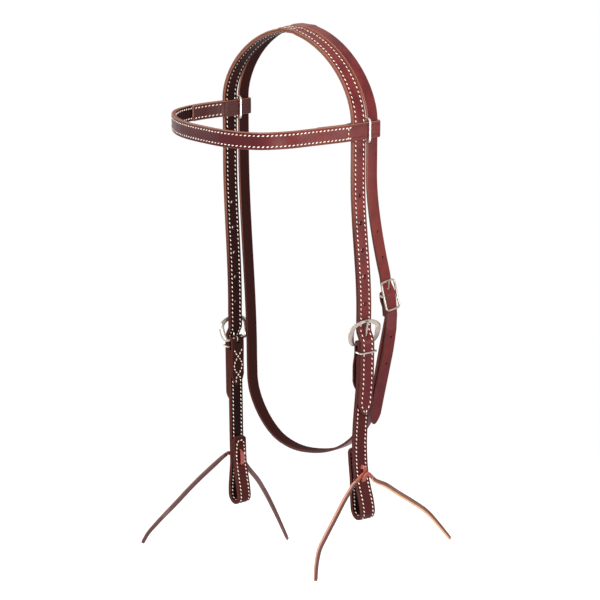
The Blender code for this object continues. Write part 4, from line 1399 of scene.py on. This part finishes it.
@dataclass(frozen=True)
class Studio:
    """A pale floor and soft light."""

    floor: float = -0.62
    reach: float = 0.9
    target: Triple = (0.0, 0.0, -0.12)
    floor_glow: float = 0.55
    faint: float = 0.14
    lights: tuple[SoftBox, ...] = (
        SoftBox("key", (1.15, -0.75, 0.55), 0.8, 25.0),
        SoftBox("low", (1.20, -0.14, -0.40), 0.28, 2.2),
        SoftBox("front", (0.1, -2.0, 0.6), 0.9, 6.0),
        SoftBox("side", (1.12, 0.60, -0.30), 0.42, 2.2),
        SoftBox("left", (-1.7, -1.3, 0.3), 1.4, 16.0),
        SoftBox("top", (0.1, -0.2, 1.6), 0.7, 14.0),
    )

    def build(self) -> None:
        """Make the stage."""
        bpy.context.scene.view_settings.view_transform = "Standard"
        bpy.context.scene.world = self.world()
        for light in self.lights:
            light.build(Vector(self.target))
        mesh = bpy.data.meshes.new("floor")
        signs = ((-1, -1), (1, -1), (1, 1), (-1, 1))
        corners = [(x * self.reach, y * self.reach, self.floor) for x, y in signs]
        mesh.from_pydata(corners, [], [range(4)])
        pale = Finish("floor")
        spread = pale.noise(pale.place, 2.0)
        x, y, _ = pale.axes(pale.place)
        radius = (x * x + y * y).math("POWER", 0.5)
        seen = backdrop_rays(pale.tree)
        pale.set(
            Base_Color=pale.mix(spread * 0.05, (0.95, 0.95, 0.95), (0.92, 0.92, 0.92)),
            Roughness=0.9,
            Emission_Color=pale.mix(seen, (0.0, 0.0, 0.0), (0.92, 0.96, 1.0)),
            Emission_Strength=self.floor_glow,
            Alpha=radius.below(self.reach * 0.55, self.reach * 0.3),
        )
        mesh.materials.append(pale.material)
        linked("floor", mesh)

    def world(self) -> bpy.types.World:
        """Make the world: faint light all round, and a white backdrop.

        Returns:
            The world.
        """
        world = bpy.data.worlds.new("studio")
        world.use_nodes = True
        tree = world.node_tree
        tree.nodes.clear()
        soft, white = (
            added(tree, "ShaderNodeBackground", None, {"Color": colour, "Strength": strength})
            for colour, strength in (((0.95, 0.97, 1.0, 1.0), self.faint), ((1.0, 1.0, 1.0, 1.0), 1.0))
        )
        shares = {0: backdrop_rays(tree), 1: soft.outputs[0], 2: white.outputs[0]}
        mix = added(tree, "ShaderNodeMixShader", None, shares)
        added(tree, "ShaderNodeOutputWorld", None, {0: mix.outputs[0]})
        return world


GRAIN = HarnessLeather("burgundy_grain", row=0.0049)
# Painted shade: the cheeks are a darker copy of the crown's leather, standing in for the light falling off
# down the straps.
SHADED_CHEEK_GRAIN = HarnessLeather(
    "burgundy_cheek", (0.115, 0.018, 0.016), (0.050, 0.008, 0.009), row=0.0055, seed=3.0, polish=0.14
)
# Painted shade: the off cheek is a darker copy of the cheek leather, painted as if in the off side's shadow,
# and painted the flesh colour high up.
SHADED_OFF_GRAIN = HarnessLeather(
    "burgundy_off_cheek", (0.110, 0.022, 0.018), (0.045, 0.010, 0.010), row=0.0055, seed=4.0, shade=1.0,
    polish=0.02,
)
# Partly the lining's own darker leather, partly painted shade: the inner faces are painted near black,
# standing in for their shadow.
LINING = HarnessLeather(
    "burgundy_lining", (0.030, 0.006, 0.006), (0.010, 0.003, 0.003), row=0.0049, seed=5.0, polish=0.01
)
PLAIN = HarnessLeather("burgundy_plain", flesh=(0.030, 0.009, 0.008), seed=7.0)
# The browband's finish, with painted shade at its front and on its off leg.
BROW = HarnessLeather("burgundy_brow", row=0.0049, seed=9.0, far=0.72, middle=0.95, polish=0.34)
THREAD = WaxedThread("cream_thread")
# Painted light: the buckles' nickel is painted darker and the rings' brighter, lit and shaded copies of one
# plate.
PLATE = NickelPlate("nickel_plate", (0.500, 0.435, 0.390), (0.240, 0.205, 0.180))
LIT_RING_PLATE = NickelPlate("nickel_ring")
TAN = LaceLeather("tan_lace", (0.300, 0.045, 0.030), (0.480, 0.170, 0.100))
# The pale colour of these two laces is both their cut edge and a painted highlight along one side.
GOLDEN = LaceLeather(
    "golden_lace", (0.300, 0.090, 0.045), (0.720, 0.430, 0.230), (0.060, 0.014, 0.010), split=True
)
PINKISH = LaceLeather(
    "pink_tan_lace", (0.160, 0.040, 0.032), (0.560, 0.270, 0.190), (0.050, 0.012, 0.012), split=True
)
RED = LaceLeather("red_lace", (0.300, 0.036, 0.036), (0.360, 0.070, 0.060), (0.160, 0.020, 0.020))
DEEP = LaceLeather("deep_lace", (0.085, 0.020, 0.018), (0.180, 0.060, 0.045), (0.040, 0.010, 0.010))


def traced_straps() -> list[Strap]:
    """Trace every ply, each from a ray that meets it and the way it runs there.

    Returns:
        The crown, the cheeks, the browband and the throatlatch.
    """
    up, down, level = (0, 0, 1), (0, 0, -1), (1, 0, 0)
    made = [
        Strap("crown_outer", "headstall", (0, 0, 0.05), down, level, GRAIN),
        Strap("crown_lining", "headstall", (0, 0, -0.05), up, level, LINING),
    ]
    for side, height, grain in ((Side.NEAR, -0.375, SHADED_CHEEK_GRAIN), (Side.OFF, -0.41, SHADED_OFF_GRAIN)):
        node, sign = side.word + "_cheek_", side.value
        made += [
            Strap(node + "outer", "headstall", (sign * 0.16, 0.008, height), (-sign, 0, 0), up, grain),
            Strap(node + "lining", "headstall", (sign * 0.05, 0.008, height), (sign, 0, 0), up, LINING),
        ]
    throat = (THROAT_WIDTH, THROAT_THICK)
    return [
        *made,
        Strap("browband_outer", "browband", (0, -0.2, -0.084), (0, 1, 0), level, BROW),
        Strap("browband_lining", "browband", (0, 0, -0.084), (0, -1, 0), level, LINING),
        Strap("throatlatch_strap", "headstall", (0, 0.0149, 0.05), down, level, PLAIN, *throat),
    ]


def arched(foot: float) -> list[tuple[float, float]]:
    """The stitched arch at the bit loop's inner end.

    Args:
        foot: half the distance between the rows that it joins.

    Returns:
        Lengths and offsets, from one row round to the other.
    """
    top = foot * 0.80
    turns = [math.pi * k / 10 for k in range(11)]
    curve = [(ARCH_TOP + top * (1 - math.sin(turn)), -top * math.cos(turn)) for turn in turns]
    return [(ARCH_FOOT, -foot), *curve, (ARCH_FOOT, foot)]


def crossed(strap: Strap, sign: int) -> list[tuple[float, float]]:
    """One thread of the crossed pattern on the turned-back leg.

    Args:
        strap: the cheek's outer ply.
        sign: which of the two threads.

    Returns:
        Lengths and offsets, down the leg to its point.
    """
    path = []
    for k in range(CROSS_STEPS):
        down = CROSS_START + k * SEW_STEP
        length = strap.length - TURNED_LEG + down
        widest = min(CROSS_HALF, max(strap.station(length).half - CROSS_MARGIN, 0.0))
        path.append((length, sign * widest * math.sin(math.pi * (down - CROSS_MEETS) / CROSS_PERIOD)))
    return path


def seams(strap: Strap, front: float) -> list[float]:
    """Lengths at which the browband's outer legs pass a distance ahead of the poll.

    Args:
        strap: the browband's outer ply.
        front: the distance, as a Y.

    Returns:
        One length on each side.
    """
    passed = [
        (one.length, one.place.x) for one, two in zip(strap.line, strap.line[1:])
        if (one.place.y - front) * (two.place.y - front) <= 0
    ]
    reach = max(abs(x) for _, x in passed) - LEG_DEEP
    return [length for length, x in passed if abs(x) > reach]


def tails() -> list[LaceTail]:
    """The four free lace ends.

    Returns:
        The near pair, then the off pair, each with its route from the tie to its tip.
    """
    return [
        LaceTail("near_lace_tail_front", (
            (0.1044, -0.0046, -0.4308), (0.1047, -0.0081, -0.4327), (0.1075, -0.0145, -0.4355),
            (0.108, -0.0235, -0.4450), (0.108, -0.035, -0.4605), (0.109, -0.047, -0.4745),
            (0.1095, -0.0560, -0.487), (0.110, -0.0600, -0.501), (0.110, -0.0613, -0.5178),
        ), PINKISH, 0.5),
        LaceTail("near_lace_tail_rear", (
            (0.1068, 0.0150, -0.4300), (0.1066, 0.0177, -0.4329), (0.1115, 0.0285, -0.4395),
            (0.116, 0.040, -0.4488), (0.121, 0.055, -0.4602), (0.126, 0.071, -0.4735),
            (0.130, 0.0855, -0.491), (0.135, 0.0964, -0.5067),
        ), GOLDEN, -0.4),
        LaceTail("off_lace_tail_front", (
            (-0.1056, -0.0018, -0.4587), (-0.1048, -0.0056, -0.4596), (-0.1110, -0.0155, -0.4700),
            (-0.115, -0.0365, -0.4852), (-0.118, -0.0625, -0.505), (-0.122, -0.0840, -0.5225),
            (-0.126, -0.0915, -0.532), (-0.130, -0.0962, -0.543),
        ), DEEP, 0.4),
        LaceTail("off_lace_tail_rear", (
            (-0.1056, 0.0185, -0.4704), (-0.1062, 0.0216, -0.4728), (-0.1020, 0.0255, -0.4810),
            (-0.097, 0.0330, -0.4930), (-0.092, 0.0400, -0.5085), (-0.086, 0.0515, -0.5370),
            (-0.080, 0.0610, -0.5642),
        ), DEEP, -0.5),
    ]


def clear_defaults() -> None:
    """Remove the start-up file's own objects."""
    for name in ("Cube", "Light", "Camera"):
        if name in bpy.data.objects:
            bpy.data.objects.remove(bpy.data.objects[name])


class Leatherwork:
    """Every strap of the headstall, and its stitches."""

    def __init__(self) -> None:
        """Trace the straps."""
        self.straps = {strap.node: strap for strap in traced_straps()}

    def build(self, metal: BVHTree) -> None:
        """Make the straps and sew them.

        Args:
            metal: the faces that stitches keep clear of.
        """
        for strap in self.straps.values():
            strap.build()
        nodes = StitchNodes().build()
        thread = THREAD.build()
        fixed = [node for node in self.straps if "browband" not in node]
        sliding = [node for node in self.straps if "browband" in node]
        for body, names in (("headstall", fixed), ("browband", sliding)):
            stitching = Stitching(body + "_stitches", body, tree_of(names), metal)
            for name in names:
                self.sew(stitching, self.straps[name])
            stitching.build(nodes, thread)

    def sew(self, stitching: Stitching, strap: Strap) -> None:
        """Sew one strap's rows and patterns.

        Args:
            stitching: the stitches of the strap's body.
            strap: the ply.
        """
        if "crown" in strap.node:
            stitching.follow(strap, RowPlan(CROWN_SHARE, start=0.0026, end=0.0026, stride=1.08))
        elif strap.node.endswith("cheek_lining"):
            stitching.follow(strap, RowPlan(CHEEK_SHARE, stride=0.98))
        elif strap.node.endswith("cheek_outer"):
            stitching.follow(strap, RowPlan(CHEEK_SHARE, ARCH_FOOT, TURNED_LEG + 0.002, 0.98))
            stitching.draw(strap, arched(strap.width * CHEEK_SHARE / 2), 0.95)
            for sign in (-1, 1):
                stitching.draw(strap, crossed(strap, sign), 0.90)
        elif "browband" in strap.node:
            stitching.follow(strap, RowPlan(BROW_SHARE, front=BROW_SEWN))
        if strap.node == "browband_outer":
            half = WIDTH / 2 * SEAM_SHARE
            for length in seams(strap, BROW_SEWN - SEAM_BEHIND):
                stitching.draw(strap, [(length, -half), (length, half)])


class Hardware:
    """The buckles, keepers and rings, which keep the shapes of their solids."""

    def __init__(self) -> None:
        """Find the metal."""
        self.names = [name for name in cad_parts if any(word in name for word in METAL)]

    def build(self) -> None:
        """Plate the metal, the rings painted brighter than the buckles: lit and shaded copies of one plate.
        """
        plate, lit_ring_plate = PLATE.build(), LIT_RING_PLATE.build()
        for name in self.names:
            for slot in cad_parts[name].material_slots:
                slot.material = lit_ring_plate if "ring" in name else plate


def main() -> None:
    """Build the headstall, then the stage."""
    logging.basicConfig(level=logging.INFO, format="%(message)s")
    clear_defaults()
    Camera().build()
    for tail in tails():
        tail.build()
    LaceTie(Side.NEAR, height=-0.4245, finish=TAN).build()
    LaceTie(Side.OFF, height=-0.4615, finish=RED).build()
    hardware = Hardware()
    Leatherwork().build(tree_of(hardware.names))
    hardware.build()
    Studio().build()


if __name__ == "__main__":
    main()
